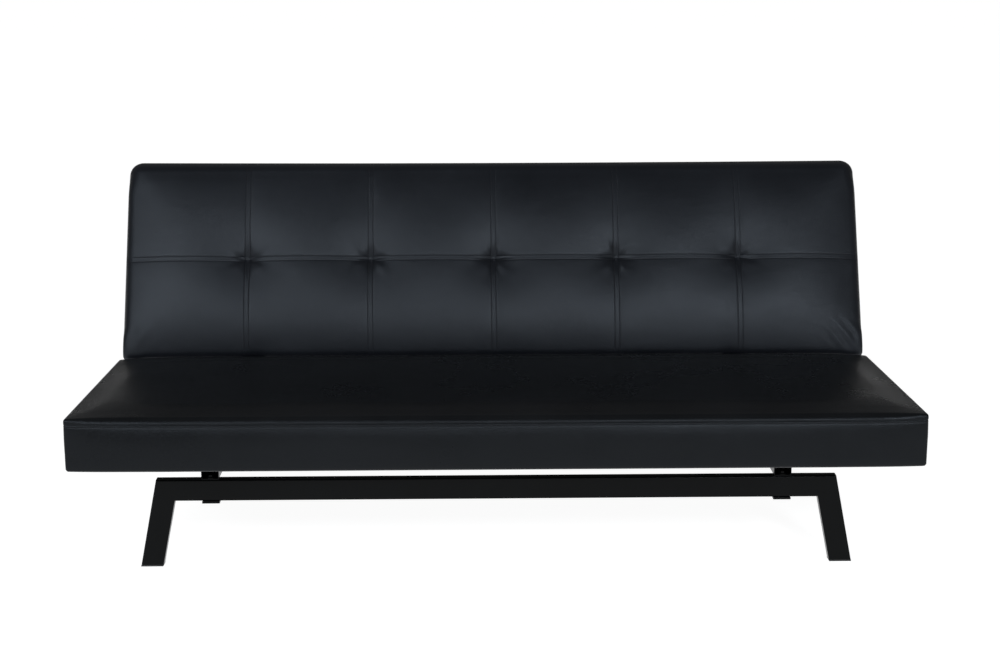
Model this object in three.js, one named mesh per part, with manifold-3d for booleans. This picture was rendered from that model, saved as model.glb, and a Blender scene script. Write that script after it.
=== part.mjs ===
// Click clack sofa bed: a seat and a tufted back that fold flat, on a welded steel under-frame.
// Millimetres. +X is the right hand of someone looking at the front, +Y the rear, +Z up.
import * as THREE from 'three';
import { mergeVertices } from 'three/addons/utils/BufferGeometryUtils.js';
import Module from 'manifold-3d';

const wasm = await Module();
wasm.setup();

const degree = Math.PI / 180;

// Seat and back
const cushionThick = 120;
const seatWidth = 1896;
const seatDepth = 570;
const seatFrontTop = 382;
const seatRake = 1.5 * degree;
const backInset = 4;
const backLength = 520;
const backLean = 24 * degree;

// Under-frame of rectangular tube
const tubeFace = 50;
const tubeDepth = 25;
const tubeWall = 2;
const railTop = 208;
const seatOverhang = 175;
const legSplay = 12 * degree;
const frontRailSetback = 96;
const trestleSpacing = 672;
const bearerWidth = 40;
const bearerHeight = 25;
const bearerFromRailEnd = 123;
const bearerInset = 2;
const bearerTail = 8;

// Fasteners, plates and the gaps between pieces
const boltRadius = 4;
const boltHeadAcross = 13;
const boltHeadHeight = 5.5;
const boltEnd = 3.5;
const washerRadius = 11;
const washerThick = 1.6;
const plateThick = 5;
const armThick = 4;
const seatGap = 0.3;
const layerGap = 0.5;
const runningGap = 1.5;
const overrun = 20;
const roundSides = 16;

// Pivot of both fittings, measured from the cushions
const boltCorner = boltHeadAcross / Math.sqrt(3);
const pivotBelowTop = 18;
const pivotBehindSeat = 21;
const pivotBelowBack = plateThick + boltCorner + runningGap;
const backSwing = Math.PI / 2 - backLean + seatRake;

// The back is nearly as wide as the seat, the rails end under it, and a bearer stands near each of their ends
const backWidth = seatWidth - 2 * backInset;
const railHalfSpan = seatWidth / 2 - seatOverhang;
const bearerCentre = railHalfSpan - bearerFromRailEnd;

const pivotY = (seatDepth + pivotBehindSeat) * Math.cos(seatRake) - pivotBelowTop * Math.sin(seatRake);
const pivotZ = seatFrontTop - (seatDepth + pivotBehindSeat) * Math.sin(seatRake) - pivotBelowTop * Math.cos(seatRake);

const steelBlack = { color: 0x1b1c1e, roughness: 0.42, metalness: 0.6 };
const zincSteel = { color: 0x8d9094, roughness: 0.35, metalness: 0.9 };
const blackPlastic = { color: 0x151516, roughness: 0.6, metalness: 0 };
const blackRubber = { color: 0x101010, roughness: 0.85, metalness: 0 };
const backLeather = { color: 0x2c2f37, roughness: 0.45, metalness: 0 };
const seatLeather = { color: 0x1a1c21, roughness: 0.45, metalness: 0 };
const creamFoam = { color: 0xd9cfae, roughness: 0.95, metalness: 0 };
const palePine = { color: 0xc8a878, roughness: 0.75, metalness: 0 };
const brownBoard = { color: 0x9a744c, roughness: 0.8, metalness: 0 };
const blackCloth = { color: 0x131314, roughness: 0.95, metalness: 0 };

// A closed geometry as a solid for cutting and joining
function solid(geometry) {
  const bare = geometry.clone();
  bare.deleteAttribute('normal');
  bare.deleteAttribute('uv');
  const merged = mergeVertices(bare);
  return new wasm.Manifold(new wasm.Mesh({
    numProp: 3,
    vertProperties: new Float32Array(merged.attributes.position.array),
    triVerts: new Uint32Array(merged.index.array),
  }));
}

// The solid's triangles as a geometry
function surface(body) {
  const mesh = body.getMesh();
  const geometry = new THREE.BufferGeometry();
  geometry.setAttribute('position', new THREE.BufferAttribute(new Float32Array(mesh.vertProperties), 3));
  geometry.setIndex(new THREE.BufferAttribute(new Uint32Array(mesh.triVerts), 1));
  geometry.computeVertexNormals();
  return geometry;
}

// A box from its lowest to its highest corner
function box(x0, x1, y0, y1, z0, z1) {
  const geometry = new THREE.BoxGeometry(x1 - x0, y1 - y0, z1 - z0);
  return geometry.translate((x0 + x1) / 2, (y0 + y1) / 2, (z0 + z1) / 2);
}

function outline(points, holes = []) {
  const shape = new THREE.Shape(points.map(([a, b]) => new THREE.Vector2(a, b)));
  for (const { at, radius } of holes) {
    shape.holes.push(new THREE.Path(arc(at, radius, 0, 2 * Math.PI * (1 - 1 / roundSides), roundSides)
      .map(([a, b]) => new THREE.Vector2(a, b))));
  }
  return shape;
}

// Points on an arc about a centre, both ends included
function arc([a, b], radius, start, end, count) {
  return Array.from({ length: count }, (_, i) => {
    const angle = start + (end - start) * i / (count - 1);
    return [a + radius * Math.cos(angle), b + radius * Math.sin(angle)];
  });
}

// A plate whose outline lies in Y and Z, from x0 to x1
function plateYZ(points, x0, x1, holes) {
  const geometry = new THREE.ExtrudeGeometry(outline(points, holes), { depth: x1 - x0, bevelEnabled: false });
  const turn = new THREE.Matrix4().makeBasis(
    new THREE.Vector3(0, 1, 0), new THREE.Vector3(0, 0, 1), new THREE.Vector3(1, 0, 0));
  return geometry.applyMatrix4(turn).translate(x0, 0, 0);
}

// A bar whose outline lies in X and Z, from y0 to y1
function barXZ(points, y0, y1) {
  const geometry = new THREE.ExtrudeGeometry(outline(points), { depth: y1 - y0, bevelEnabled: false });
  const turn = new THREE.Matrix4().makeBasis(
    new THREE.Vector3(1, 0, 0), new THREE.Vector3(0, 0, 1), new THREE.Vector3(0, -1, 0));
  return geometry.applyMatrix4(turn).translate(0, y1, 0);
}

// Round rods that cut holes, along X, Y or Z through a point
function rod(axis, [x, y, z], radius, low, high) {
  const geometry = new THREE.CylinderGeometry(radius, radius, high - low, roundSides);
  geometry.translate(0, (low + high) / 2, 0);
  if (axis === 'x') geometry.rotateZ(-Math.PI / 2);
  if (axis === 'z') geometry.rotateX(Math.PI / 2);
  return solid(geometry.translate(x, y, z));
}

const boltHole = boltRadius + seatGap;

// A hexagon bolt along Z whose head stands on z = 0, with its washer and its shank below
function hexBolt(shankLength, washer) {
  const head = new THREE.CylinderGeometry(boltCorner, boltCorner, boltHeadHeight, 6);
  head.rotateX(Math.PI / 2).translate(0, 0, washer + boltHeadHeight / 2);
  const shank = new THREE.CylinderGeometry(boltRadius, boltRadius, shankLength + boltHeadHeight / 2, roundSides);
  shank.rotateX(Math.PI / 2).translate(0, 0, (boltHeadHeight / 2 - shankLength) / 2);
  const bolt = solid(head).add(solid(shank));
  if (washer === 0) return surface(bolt);
  const disc = new THREE.CylinderGeometry(washerRadius, washerRadius, washer, roundSides);
  return surface(bolt.add(solid(disc.rotateX(Math.PI / 2).translate(0, 0, washer / 2))));
}

const sofa = new THREE.Group();
const seat = new THREE.Group();
const back = new THREE.Group();
sofa.add(seat, back);
seat.position.set(0, pivotY, pivotZ);
seat.rotation.x = -seatRake;
back.position.set(0, pivotY, pivotZ);
back.rotation.x = Math.PI / 2 - backLean;

function piece(group, name, geometry, finish) {
  const mesh = new THREE.Mesh(geometry, new THREE.MeshStandardMaterial(finish));
  mesh.name = name;
  group.add(mesh);
  return mesh;
}

const sides = [['left', -1], ['right', 1]];

// Turns a span of X on the right-hand side into the span for either side
function span(side, x0, x1) {
  return side > 0 ? [x0, x1] : [-x1, -x0];
}

// Trestles: a rail mitred to two splayed legs, all of one rectangular tube
const railBottom = railTop - tubeFace;
const legSection = tubeFace / Math.cos(legSplay);
const wallSection = tubeWall / Math.cos(legSplay);
const glideThick = 4;
const glidePlug = 16;

function legOuter(z) {
  return railHalfSpan + (railTop - z) * Math.tan(legSplay);
}

function legInner(z) {
  return legOuter(z) - legSection;
}

// The sloping strip between two distances in from the leg's outer face
function legStrip(side, z0, z1, inset0, inset1) {
  return [[z0, inset0], [z0, inset1], [z1, inset1], [z1, inset0]]
    .map(([z, inset]) => [side * (legOuter(z) - inset), z]);
}

function trestle(end, y0) {
  const y1 = y0 + tubeDepth;
  const bore = [y0 + tubeWall, y1 - tubeWall];
  const middle = (y0 + y1) / 2;
  const foot = legInner(railBottom);
  let rail = solid(barXZ([[-railHalfSpan, railTop], [-foot, railBottom], [foot, railBottom], [railHalfSpan, railTop]],
    y0, y1));
  rail = rail.subtract(solid(box(-railHalfSpan - overrun, railHalfSpan + overrun, ...bore,
    railBottom + tubeWall, railTop - tubeWall)));
  for (const [, side] of sides) {
    rail = rail.subtract(rod('z', [side * bearerCentre, middle, 0], boltHole, railBottom - overrun, railTop + overrun));
  }
  piece(sofa, `${end}_rail`, surface(rail), steelBlack);

  for (const [hand, side] of sides) {
    const skin = [[side * (railHalfSpan + seatGap), railTop], [side * (foot + seatGap), railBottom],
      [side * legInner(glideThick), glideThick], [side * legOuter(glideThick), glideThick]];
    const hollow = legStrip(side, -overrun, railTop + overrun, wallSection, legSection - wallSection);
    const leg = solid(barXZ(skin, y0, y1)).subtract(solid(barXZ(hollow, ...bore)));
    piece(sofa, `${end}_leg_${hand}`, surface(leg), steelBlack);

    const sole = barXZ(legStrip(side, 0, glideThick - seatGap, 0, legSection), y0, y1);
    const plug = barXZ(legStrip(side, glideThick / 2, glideThick + glidePlug, wallSection + seatGap,
      legSection - wallSection - seatGap), bore[0] + seatGap, bore[1] - seatGap);
    piece(sofa, `foot_glide_${end}_${hand}`, surface(solid(sole).add(solid(plug))), blackPlastic);

    clamp(`${end}_${hand}`, side * bearerCentre, middle);
  }
}

// Clamp plate under a rail, and the bolt that draws bearer, rail and plate together, both black
const clampWidth = 40;
const clampDepth = 30;
const bearerBottom = railTop + seatGap;
const bearerTop = bearerBottom + bearerHeight;

function clamp(place, x, y) {
  const top = railBottom - seatGap;
  const plate = solid(box(x - clampWidth / 2, x + clampWidth / 2, y - clampDepth / 2, y + clampDepth / 2,
    top - plateThick, top));
  piece(sofa, `clamp_plate_${place}`, surface(plate.subtract(rod('z', [x, y, 0], boltHole,
    top - plateThick - overrun, top + overrun))), steelBlack);
  const seatZ = bearerBottom + tubeWall + seatGap;
  const bolt = piece(sofa, `clamp_bolt_${place}`, hexBolt(seatZ - top + plateThick + boltEnd, washerThick), steelBlack);
  bolt.position.set(x, y, seatZ);
}

const frontRailY = frontRailSetback;
const rearRailY = frontRailSetback + trestleSpacing;
trestle('front', frontRailY);
trestle('rear', rearRailY);

// Bearers lie across both rails, open at the front and plugged at the rear
const bearerFront = frontRailY + bearerInset;
const bearerRear = rearRailY + tubeDepth + bearerTail;
const bumperRadius = 15;
const bumperTopRadius = 12;
const bumperSetback = 60;

for (const [hand, side] of sides) {
  const [x0, x1] = span(side, bearerCentre - bearerWidth / 2, bearerCentre + bearerWidth / 2);
  let bearer = solid(box(x0, x1, bearerFront, bearerRear, bearerBottom, bearerTop));
  bearer = bearer.subtract(solid(box(x0 + tubeWall, x1 - tubeWall, bearerFront - overrun, bearerRear + overrun,
    bearerBottom + tubeWall, bearerTop - tubeWall)));
  for (const y of [frontRailY, rearRailY]) {
    bearer = bearer.subtract(rod('z', [side * bearerCentre, y + tubeDepth / 2, 0], boltHole,
      bearerBottom - overrun, bearerBottom + tubeWall + washerThick));
  }
  piece(sofa, `bearer_${hand}`, surface(bearer), steelBlack);

  const lid = solid(box(x0, x1, bearerRear + seatGap, bearerRear + seatGap + glideThick, bearerBottom, bearerTop));
  const inset = tubeWall + seatGap;
  const plug = solid(box(x0 + inset, x1 - inset, bearerRear + seatGap - bearerTail, bearerRear + glideThick,
    bearerBottom + inset, bearerTop - inset));
  piece(sofa, `bearer_cap_${hand}`, surface(lid.add(plug)), blackPlastic);

  const bumperY = frontRailY + tubeDepth + bumperSetback;
  const under = seatFrontTop - (bumperY + bumperRadius) * Math.sin(seatRake) - cushionThick;
  const height = under - bearerTop - 2 * seatGap;
  const bumper = piece(sofa, `seat_bumper_${hand}`,
    new THREE.CylinderGeometry(bumperTopRadius, bumperRadius, height, roundSides), blackRubber);
  bumper.rotation.x = Math.PI / 2;
  bumper.position.set(side * bearerCentre, bumperY, bearerTop + seatGap + height / 2);
}

// Layers of each fitting, outwards from the bearer's inner face
const bracketOuter = bearerCentre - bearerWidth / 2 - seatGap;
const bracketInner = bracketOuter - plateThick;
const seatArmInner = bracketOuter + layerGap;
const seatArmOuter = seatArmInner + armThick;
const backArmOuter = bracketInner - layerGap;
const backArmInner = backArmOuter - armThick;
const flangeWidth = 40;
const lugRadius = pivotBelowBack - runningGap - layerGap;
const flangeLength = 85;
const flangeRise = 8;
const armBoltDrop = 58;
const armBoltLength = 27;

// The toothed quadrant and the pawl take their size from the room behind the seat
const ratchetRadius = pivotBehindSeat;
const toothDepth = 2.5;
const pawlPivotShares = [-0.667, -1.476];
const pawlTipShares = [[0.22, -1.15], [-0.4, -1.55], [-0.4, -2.38], [-0.57, -2.38]];
const springShares = [[-0.25, -3.6], [-0.25, -3.9]];
const springReachShare = 2.2;
const pawlAngle = -80 * degree;
const studRadius = 2.4;
const studHead = 4;
const studHeadThick = 1.5;
const pawlBoss = 5;
const springThick = 1.5;
const sweepRadius = Math.hypot(pivotBelowBack, cushionThick - pivotBelowTop);
const bracketFoot = pivotZ - bearerBottom - layerGap;
const bracketStep = (sweepRadius + pivotZ - bearerTop) / 2;
const bracketReach = 60;
const bracketHeel = 40;
const columnFront = 15;
const columnRear = 8;
const seatWebShare = 0.7;
const backWebShare = 0.4;

function scaled(shares, size) {
  return shares.map(([a, b]) => [a * size, b * size]);
}

// Pawl about the sofa's pivot: its nose just clear of the teeth, a boss on the stud and a tail below
const pawlPivot = [pawlPivotShares[0] * ratchetRadius, pawlPivotShares[1] * ratchetRadius];
const noseRadius = ratchetRadius + seatGap;
const pawlPoints = [[noseRadius * Math.cos(pawlAngle), noseRadius * Math.sin(pawlAngle)],
  ...arc(pawlPivot, pawlBoss, Math.PI / 2, Math.PI * 5 / 4, roundSides / 2),
  ...scaled(pawlTipShares, ratchetRadius).reverse()];

// Leaf spring: a strip in front of the pawl's tail, turned over onto the bracket at its foot
const springY = -columnFront - springThick;
const springFoot = scaled(springShares, ratchetRadius);
const springPoints = [[springY, springFoot[1][1]], springFoot[1], springFoot[0],
  [springY + springThick, springFoot[0][1]], [springY + springThick, -springReachShare * ratchetRadius],
  [springY, -springReachShare * ratchetRadius]];

// Quadrant in the back's own frame: one notch for each stop between upright and flat
const notches = 7;
const notchStep = backSwing / (notches - 1);
const uprightNotch = pawlAngle - (Math.PI / 2 - backLean);

function quadrant() {
  const points = [[0, 0]];
  const at = (radius, angle) => [radius * Math.cos(angle), radius * Math.sin(angle)];
  const root = ratchetRadius - toothDepth;
  points.push(at(ratchetRadius, uprightNotch - notchStep / 2));
  for (let i = 0; i < notches; i += 1) {
    const angle = uprightNotch + i * notchStep;
    points.push(at(root, angle), at(ratchetRadius, angle + notchStep / 6));
    if (i < notches - 1) points.push(at(ratchetRadius, angle + notchStep / 2));
  }
  points.push(at(ratchetRadius, uprightNotch + (notches - 1 / 2) * notchStep));
  return points;
}

for (const [hand, side] of sides) {
  const lug = arc([0, 0], lugRadius, 0, Math.PI, roundSides / 2 + 1);
  const column = [...lug, [-columnFront, -sweepRadius], [-bracketHeel, -bracketStep],
    [-bracketHeel, -bracketFoot], [bracketReach, -bracketFoot], [bracketReach, -bracketStep],
    [columnRear, -sweepRadius]];
  const [b0, b1] = span(side, bracketInner, bracketOuter);
  let bracket = solid(plateYZ(column, b0, b1, [{ at: [0, 0], radius: boltHole }]));
  const studFace = side * bracketInner;
  const studEnd = side * (backArmInner - seatGap);
  const stud = rod('x', [0, pawlPivot[0], pawlPivot[1]], studRadius,
    Math.min(studFace, studEnd) - studHeadThick / 2, Math.max(studFace, studEnd) + studHeadThick / 2);
  const [h0, h1] = span(side, backArmInner - seatGap - studHeadThick, backArmInner - seatGap);
  bracket = bracket.add(stud).add(rod('x', [0, pawlPivot[0], pawlPivot[1]], studHead, h0, h1));
  const plate = piece(sofa, `hinge_bracket_${hand}`, surface(bracket), steelBlack);
  plate.position.set(0, pivotY, pivotZ);

  const [p0, p1] = span(side, backArmInner, backArmOuter);
  const pawl = piece(sofa, `ratchet_pawl_${hand}`,
    plateYZ(pawlPoints, p0, p1, [{ at: pawlPivot, radius: studRadius + seatGap }]), zincSteel);
  pawl.position.copy(plate.position);
  const [s0, s1] = span(side, backArmInner, bracketInner - seatGap);
  const spring = piece(sofa, `pawl_spring_${hand}`, plateYZ(springPoints, s0, s1), zincSteel);
  spring.position.copy(plate.position);

  // The pivot bolt passes inwards to outwards through back arm, bracket and seat arm
  const headSeat = backArmInner - seatGap;
  const nutThick = 6.5;
  const pivotLength = seatArmOuter + 2 * seatGap + nutThick + boltEnd - headSeat;
  const bolt = piece(sofa, `pivot_bolt_${hand}`, hexBolt(pivotLength, 0), zincSteel);
  bolt.rotation.y = -side * Math.PI / 2;
  bolt.position.set(side * headSeat, pivotY, pivotZ);
  const [n0, n1] = span(side, seatArmOuter + seatGap, seatArmOuter + seatGap + nutThick);
  const hexagon = arc([0, 0], boltCorner, 0, 2 * Math.PI * (1 - 1 / 6), 6);
  const nut = piece(sofa, `pivot_nut_${hand}`, plateYZ(hexagon, n0, n1, [{ at: [0, 0], radius: boltHole }]), zincSteel);
  nut.position.copy(plate.position);

  // Seat arm: a flange on the seat's rear face and a lug out to the pivot
  const face = -pivotBehindSeat + seatGap;
  const [a0, a1] = span(side, seatArmInner, seatArmOuter);
  const seatWeb = [[face, flangeRise], ...arc([0, 0], lugRadius, Math.PI / 2, -Math.PI / 2, roundSides / 2 + 1),
    [face, -flangeLength * seatWebShare]];
  const [f0, f1] = span(side, seatArmInner, seatArmInner + flangeWidth);
  const seatBoltX = side * (seatArmOuter + (flangeWidth - armThick) / 2);
  const seatBolt = [seatBoltX, 0, -armBoltDrop];
  const seatArm = solid(plateYZ(seatWeb, a0, a1, [{ at: [0, 0], radius: boltHole }]))
    .add(solid(box(f0, f1, face, face + plateThick, -flangeLength, flangeRise)))
    .subtract(rod('y', seatBolt, boltHole, face - overrun, face + overrun));
  piece(seat, `seat_arm_${hand}`, surface(seatArm), steelBlack);
  const seatScrew = piece(seat, `seat_arm_bolt_${hand}`, hexBolt(armBoltLength, 0), zincSteel);
  seatScrew.rotation.x = -Math.PI / 2;
  seatScrew.position.set(seatBoltX, face + plateThick + seatGap, -armBoltDrop);

  // Back arm: a flange on the back's lower face, a lug and the toothed quadrant
  const lower = pivotBelowBack - seatGap;
  const [c0, c1] = span(side, backArmInner, backArmOuter);
  const backWeb = [[lower, flangeRise], ...arc([0, 0], lugRadius, Math.PI / 2, Math.PI * 1.5, roundSides / 2 + 1),
    [lower, -flangeLength * backWebShare]];
  const [g0, g1] = span(side, backArmOuter - flangeWidth, backArmOuter);
  const backBoltX = side * (backArmInner - (flangeWidth - armThick) / 2);
  const backArm = solid(plateYZ(backWeb, c0, c1)).add(solid(plateYZ(quadrant(), c0, c1)))
    .add(solid(box(g0, g1, lower - plateThick, lower, -flangeLength, flangeRise)))
    .subtract(rod('x', [0, 0, 0], boltHole, Math.min(c0, c1) - overrun, Math.max(c0, c1) + overrun))
    .subtract(rod('y', [backBoltX, 0, -armBoltDrop], boltHole, lower - overrun, lower + overrun));
  piece(back, `back_arm_${hand}`, surface(backArm), steelBlack);
  const backScrew = piece(back, `back_arm_bolt_${hand}`, hexBolt(armBoltLength, 0), zincSteel);
  backScrew.rotation.x = Math.PI / 2;
  backScrew.position.set(backBoltX, lower - plateThick - seatGap, -armBoltDrop);
}

// A padded form: a box of the given half sizes with rounded edges, as a grid on its six faces.
// The top rounding holds above the level w, and the hem's below it.
// shape(u, v, w, point, corner) moves each point, where u, v and w run from -1 to 1 along X, Y and Z
// and corner is where the point would lie on the box if its edges were sharp.
function paddedForm(half, us, vs, ws, { top, hem, level }, shape) {
  const positions = [];
  const index = [];
  const ids = new Map();
  const vertex = (i, j, k) => {
    const key = `${i} ${j} ${k}`;
    if (!ids.has(key)) {
      const [u, v, w] = [us[i], vs[j], ws[k]];
      const upper = w > level;
      const radius = upper ? top : hem;
      const raw = new THREE.Vector3(u * half.x, v * half.y, w * half.z);
      const inner = new THREE.Vector3(half.x - radius, half.y - radius, half.z);
      const core = raw.clone().clamp(inner.clone().negate(), inner);
      core.z = upper ? Math.min(raw.z, half.z - radius) : Math.max(raw.z, radius - half.z);
      const point = raw.clone().sub(core).setLength(radius).add(core);
      shape(u, v, w, point, raw);
      ids.set(key, positions.length / 3);
      positions.push(point.x, point.y, point.z);
    }
    return ids.get(key);
  };
  const [ni, nj, nk] = [us.length - 1, vs.length - 1, ws.length - 1];
  const quad = (a, b, c, d) => index.push(a, b, c, a, c, d);
  for (let i = 0; i < ni; i += 1) {
    for (let j = 0; j < nj; j += 1) {
      quad(vertex(i, j, nk), vertex(i + 1, j, nk), vertex(i + 1, j + 1, nk), vertex(i, j + 1, nk));
      quad(vertex(i, j, 0), vertex(i, j + 1, 0), vertex(i + 1, j + 1, 0), vertex(i + 1, j, 0));
    }
    for (let k = 0; k < nk; k += 1) {
      quad(vertex(i, 0, k), vertex(i + 1, 0, k), vertex(i + 1, 0, k + 1), vertex(i, 0, k + 1));
      quad(vertex(i, nj, k), vertex(i, nj, k + 1), vertex(i + 1, nj, k + 1), vertex(i + 1, nj, k));
    }
  }
  for (let j = 0; j < nj; j += 1) {
    for (let k = 0; k < nk; k += 1) {
      quad(vertex(0, j, k), vertex(0, j, k + 1), vertex(0, j + 1, k + 1), vertex(0, j + 1, k));
      quad(vertex(ni, j, k), vertex(ni, j + 1, k), vertex(ni, j + 1, k + 1), vertex(ni, j, k + 1));
    }
  }
  const geometry = new THREE.BufferGeometry();
  geometry.setAttribute('position', new THREE.BufferAttribute(new Float32Array(positions), 3));
  geometry.setIndex(index);
  return geometry;
}

// Inside a cover: depths below the top plane of the foam, the board and the timber frame
const coverWall = 9;
const seatQuilting = 10;
const backQuilting = 16;
const coverLip = 2.5;
const lipWidth = 30;
const paddingDepth = 54;
const boardThick = 6;
const timberWidth = 22;
const stretcherWidth = 30;
const clothThick = 1.2;

const boardTop = pivotBelowTop - paddingDepth;

// A slab of half width x whose top edges are rounded and whose corners stay square up to a height
function slab(x, y0, y1, z0, z1, squareTo, rounding) {
  const half = new THREE.Vector3(x, (y1 - y0) / 2, (z1 - z0) / 2);
  const level = 2 * (squareTo - z0) / (z1 - z0) - 1;
  const starts = [1 - rounding / half.x, 1 - rounding / half.y, 1 - rounding / half.z];
  const ws = level > -1 ? [-1, level, starts[2], 1] : [-1, starts[2], 1];
  return paddedForm(half, [-1, -starts[0], starts[0], 1], [-1, -starts[1], starts[1], 1], ws,
    { top: rounding, hem: 0, level }, () => {}).translate(0, (y0 + y1) / 2, (z0 + z1) / 2);
}

// Cuts the space for foam and frame out of a padded form, open at the bottom inside a turned-in lip
function hollowed(form, x, y0, y1, quilting, rounding) {
  const top = pivotBelowTop - quilting;
  const bottom = pivotBelowTop - cushionThick;
  const space = slab(x - coverWall, y0 + coverWall, y1 - coverWall, bottom + coverLip, top, boardTop,
    rounding - coverWall);
  const inset = coverWall + lipWidth;
  const mouth = box(-x + inset, x - inset, y0 + inset, y1 - inset, bottom - overrun, bottom + coverLip + coverWall);
  return form.subtract(solid(space)).subtract(solid(mouth));
}

// Foam, board and closing cloth that fill a cover of half width x between y0 and y1
function filling(group, x, y0, y1, quilting, rounding, names) {
  const wall = coverWall + seatGap;
  const [x0, x1] = [-x + wall, x - wall];
  const [ya, yb] = [y0 + wall, y1 - wall];
  const foamTop = pivotBelowTop - quilting - seatGap;
  const foamBottom = boardTop + seatGap;
  piece(group, names.foam, slab(x - wall, ya, yb, foamBottom, foamTop, foamBottom, rounding - wall), creamFoam);
  piece(group, names.board, box(x0, x1, ya, yb, boardTop - boardThick, boardTop), brownBoard);
  const bottom = pivotBelowTop - cushionThick;
  const inset = lipWidth + wall;
  piece(group, names.cloth, box(-x + inset, x - inset, y0 + inset, y1 - inset,
    bottom + seatGap, bottom + seatGap + clothThick), blackCloth);
  return { x0, x1, ya, yb, frameTop: boardTop - boardThick - seatGap, frameBottom: bottom + coverLip + seatGap };
}

// Four timber rails around the inside of a cover, butted with the ends between front and rear
function timberFrame(group, room, names, boltCuts) {
  const { x0, x1, ya, yb, frameTop, frameBottom } = room;
  const ends = [ya + timberWidth + seatGap, yb - timberWidth - seatGap];
  const near = solid(box(x0, x1, ya, ya + timberWidth, frameBottom, frameTop));
  const far = solid(box(x0, x1, yb - timberWidth, yb, frameBottom, frameTop));
  const cut = (body) => boltCuts.reduce((whole, hole) => whole.subtract(hole), body);
  piece(group, names.near, surface(cut(near)), palePine);
  piece(group, names.far, surface(cut(far)), palePine);
  piece(group, `${names.end}_left`, box(x0, x0 + timberWidth, ...ends, frameBottom, frameTop), palePine);
  piece(group, `${names.end}_right`, box(x1 - timberWidth, x1, ...ends, frameBottom, frameTop), palePine);
  return ends;
}

// Evenly graded grid positions: shares of each stretch between stops
function graded(stops, shares) {
  const list = [];
  for (let i = 0; i < stops.length - 1; i += 1) {
    for (const share of shares) list.push(stops[i] + (stops[i + 1] - stops[i]) * share);
  }
  list.push(stops[stops.length - 1]);
  return list;
}

// How far the padding fills an edge's rounding out towards its corner, where it is packed tight
const fillShare = 0.6;

// Seat: a low even crown on top, full ends, and a front drawn in a little between its corners
const seatRounding = 13;
const hemRounding = 6;
const seatCrown = 10;
const frontDraw = 3;
const seatHalf = new THREE.Vector3(seatWidth / 2, seatDepth / 2, cushionThick / 2);
const seatColumnShares = [-1, -0.93, -0.8, -0.6, -0.4, -0.2, 0, 0.2, 0.4, 0.6, 0.8, 0.93, 1];
const seatRowShares = [-1, -0.8, -0.5, -0.17, 0.17, 0.5, 0.8, 1];
const seatMiddleY = -pivotBehindSeat - seatDepth / 2;
const middleZ = pivotBelowTop - cushionThick / 2;

// Adds the two positions where an edge's rounding starts
function withRounding(positions, radius, half) {
  const start = 1 - radius / half;
  return [-1, -start, ...positions.filter((p) => Math.abs(p) < start - radius / half / 2), start, 1];
}

function crownShare(u, power) {
  return 1 - Math.abs(u) ** power;
}

const seatForm = paddedForm(seatHalf,
  withRounding(seatColumnShares, seatRounding, seatHalf.x),
  withRounding(seatRowShares, seatRounding, seatHalf.y),
  [-1, -1 + hemRounding / seatHalf.z, 0, 1 - seatRounding / seatHalf.z, 1],
  { top: seatRounding, hem: hemRounding, level: 0 },
  (u, v, w, point, corner) => {
    const waist = (1 + crownShare(w, 2)) / 2;
    if (Math.abs(u) === 1) point.lerp(corner, fillShare);
    if (w === 1) point.z += seatCrown * crownShare(u, 12) * crownShare(v, 4);
    if (v === -1) point.y += frontDraw * crownShare(u, 2) * waist;
  }).translate(0, seatMiddleY, middleZ);

const seatFrontY = -pivotBehindSeat - seatDepth;
const seatRearY = -pivotBehindSeat;
const boltTip = armBoltLength + boltEnd;
const seatBoltCuts = sides.map(([, side]) => rod('y',
  [side * (seatArmOuter + (flangeWidth - armThick) / 2), 0, -armBoltDrop], boltHole,
  seatRearY + plateThick - boltTip, seatRearY + overrun));
const seatShell = seatBoltCuts.reduce((body, hole) => body.subtract(hole),
  hollowed(solid(seatForm), seatWidth / 2, seatFrontY, seatRearY, seatQuilting, seatRounding));
piece(seat, 'seat_cover', surface(seatShell), seatLeather);

const seatRoom = filling(seat, seatWidth / 2, seatFrontY, seatRearY, seatQuilting, seatRounding,
  { foam: 'seat_foam', board: 'seat_deck', cloth: 'seat_dust_cover' });
const stretcherEnds = timberFrame(seat, seatRoom,
  { near: 'seat_front_rail', far: 'seat_rear_rail', end: 'seat_end_rail' }, seatBoltCuts);
for (const [hand, side] of sides) {
  const x = side * bearerCentre;
  piece(seat, `seat_stretcher_${hand}`, box(x - stretcherWidth / 2, x + stretcherWidth / 2, ...stretcherEnds,
    seatRoom.frameBottom, seatRoom.frameTop), palePine);
}

// Back: one crowned pad, tight along its ends and lower edge and round along its top.
// Its cover is sewn into two rows of panels, with a tuft at each inner crossing.
const panelColumns = 6;
const padCrown = 14;
const panelCrown = 4;
const topDraw = 4;
const seamDepth = 3;
const seamReach = 5;
const tuftDepth = 15;
const tuftReach = 26;
const backRounding = 36;
const rowSeamHeight = 253;
const panelColumnShares = [0, 0.03, 0.13, 0.5, 0.87, 0.97];
const panelRowShares = [0, 0.035, 0.15, 0.5, 0.85, 0.965];
const backHalf = new THREE.Vector3(backWidth / 2, backLength / 2, cushionThick / 2);
const columnStops = Array.from({ length: panelColumns + 1 }, (_, i) => 2 * i / panelColumns - 1);
const rowSeam = 2 * rowSeamHeight / backLength - 1;
const rowStops = [-1, rowSeam, 1];

// How far a position lies between two stops, from 0 to 1
function panelShare(stops, value) {
  const i = Math.max(stops.findIndex((stop) => value <= stop), 1);
  return (value - stops[i - 1]) / (stops[i] - stops[i - 1]);
}

// A dip that is one at distance 0 and fades out over a reach
function dip(distance, fade) {
  return Math.exp(-((distance / fade) ** 2));
}

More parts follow.
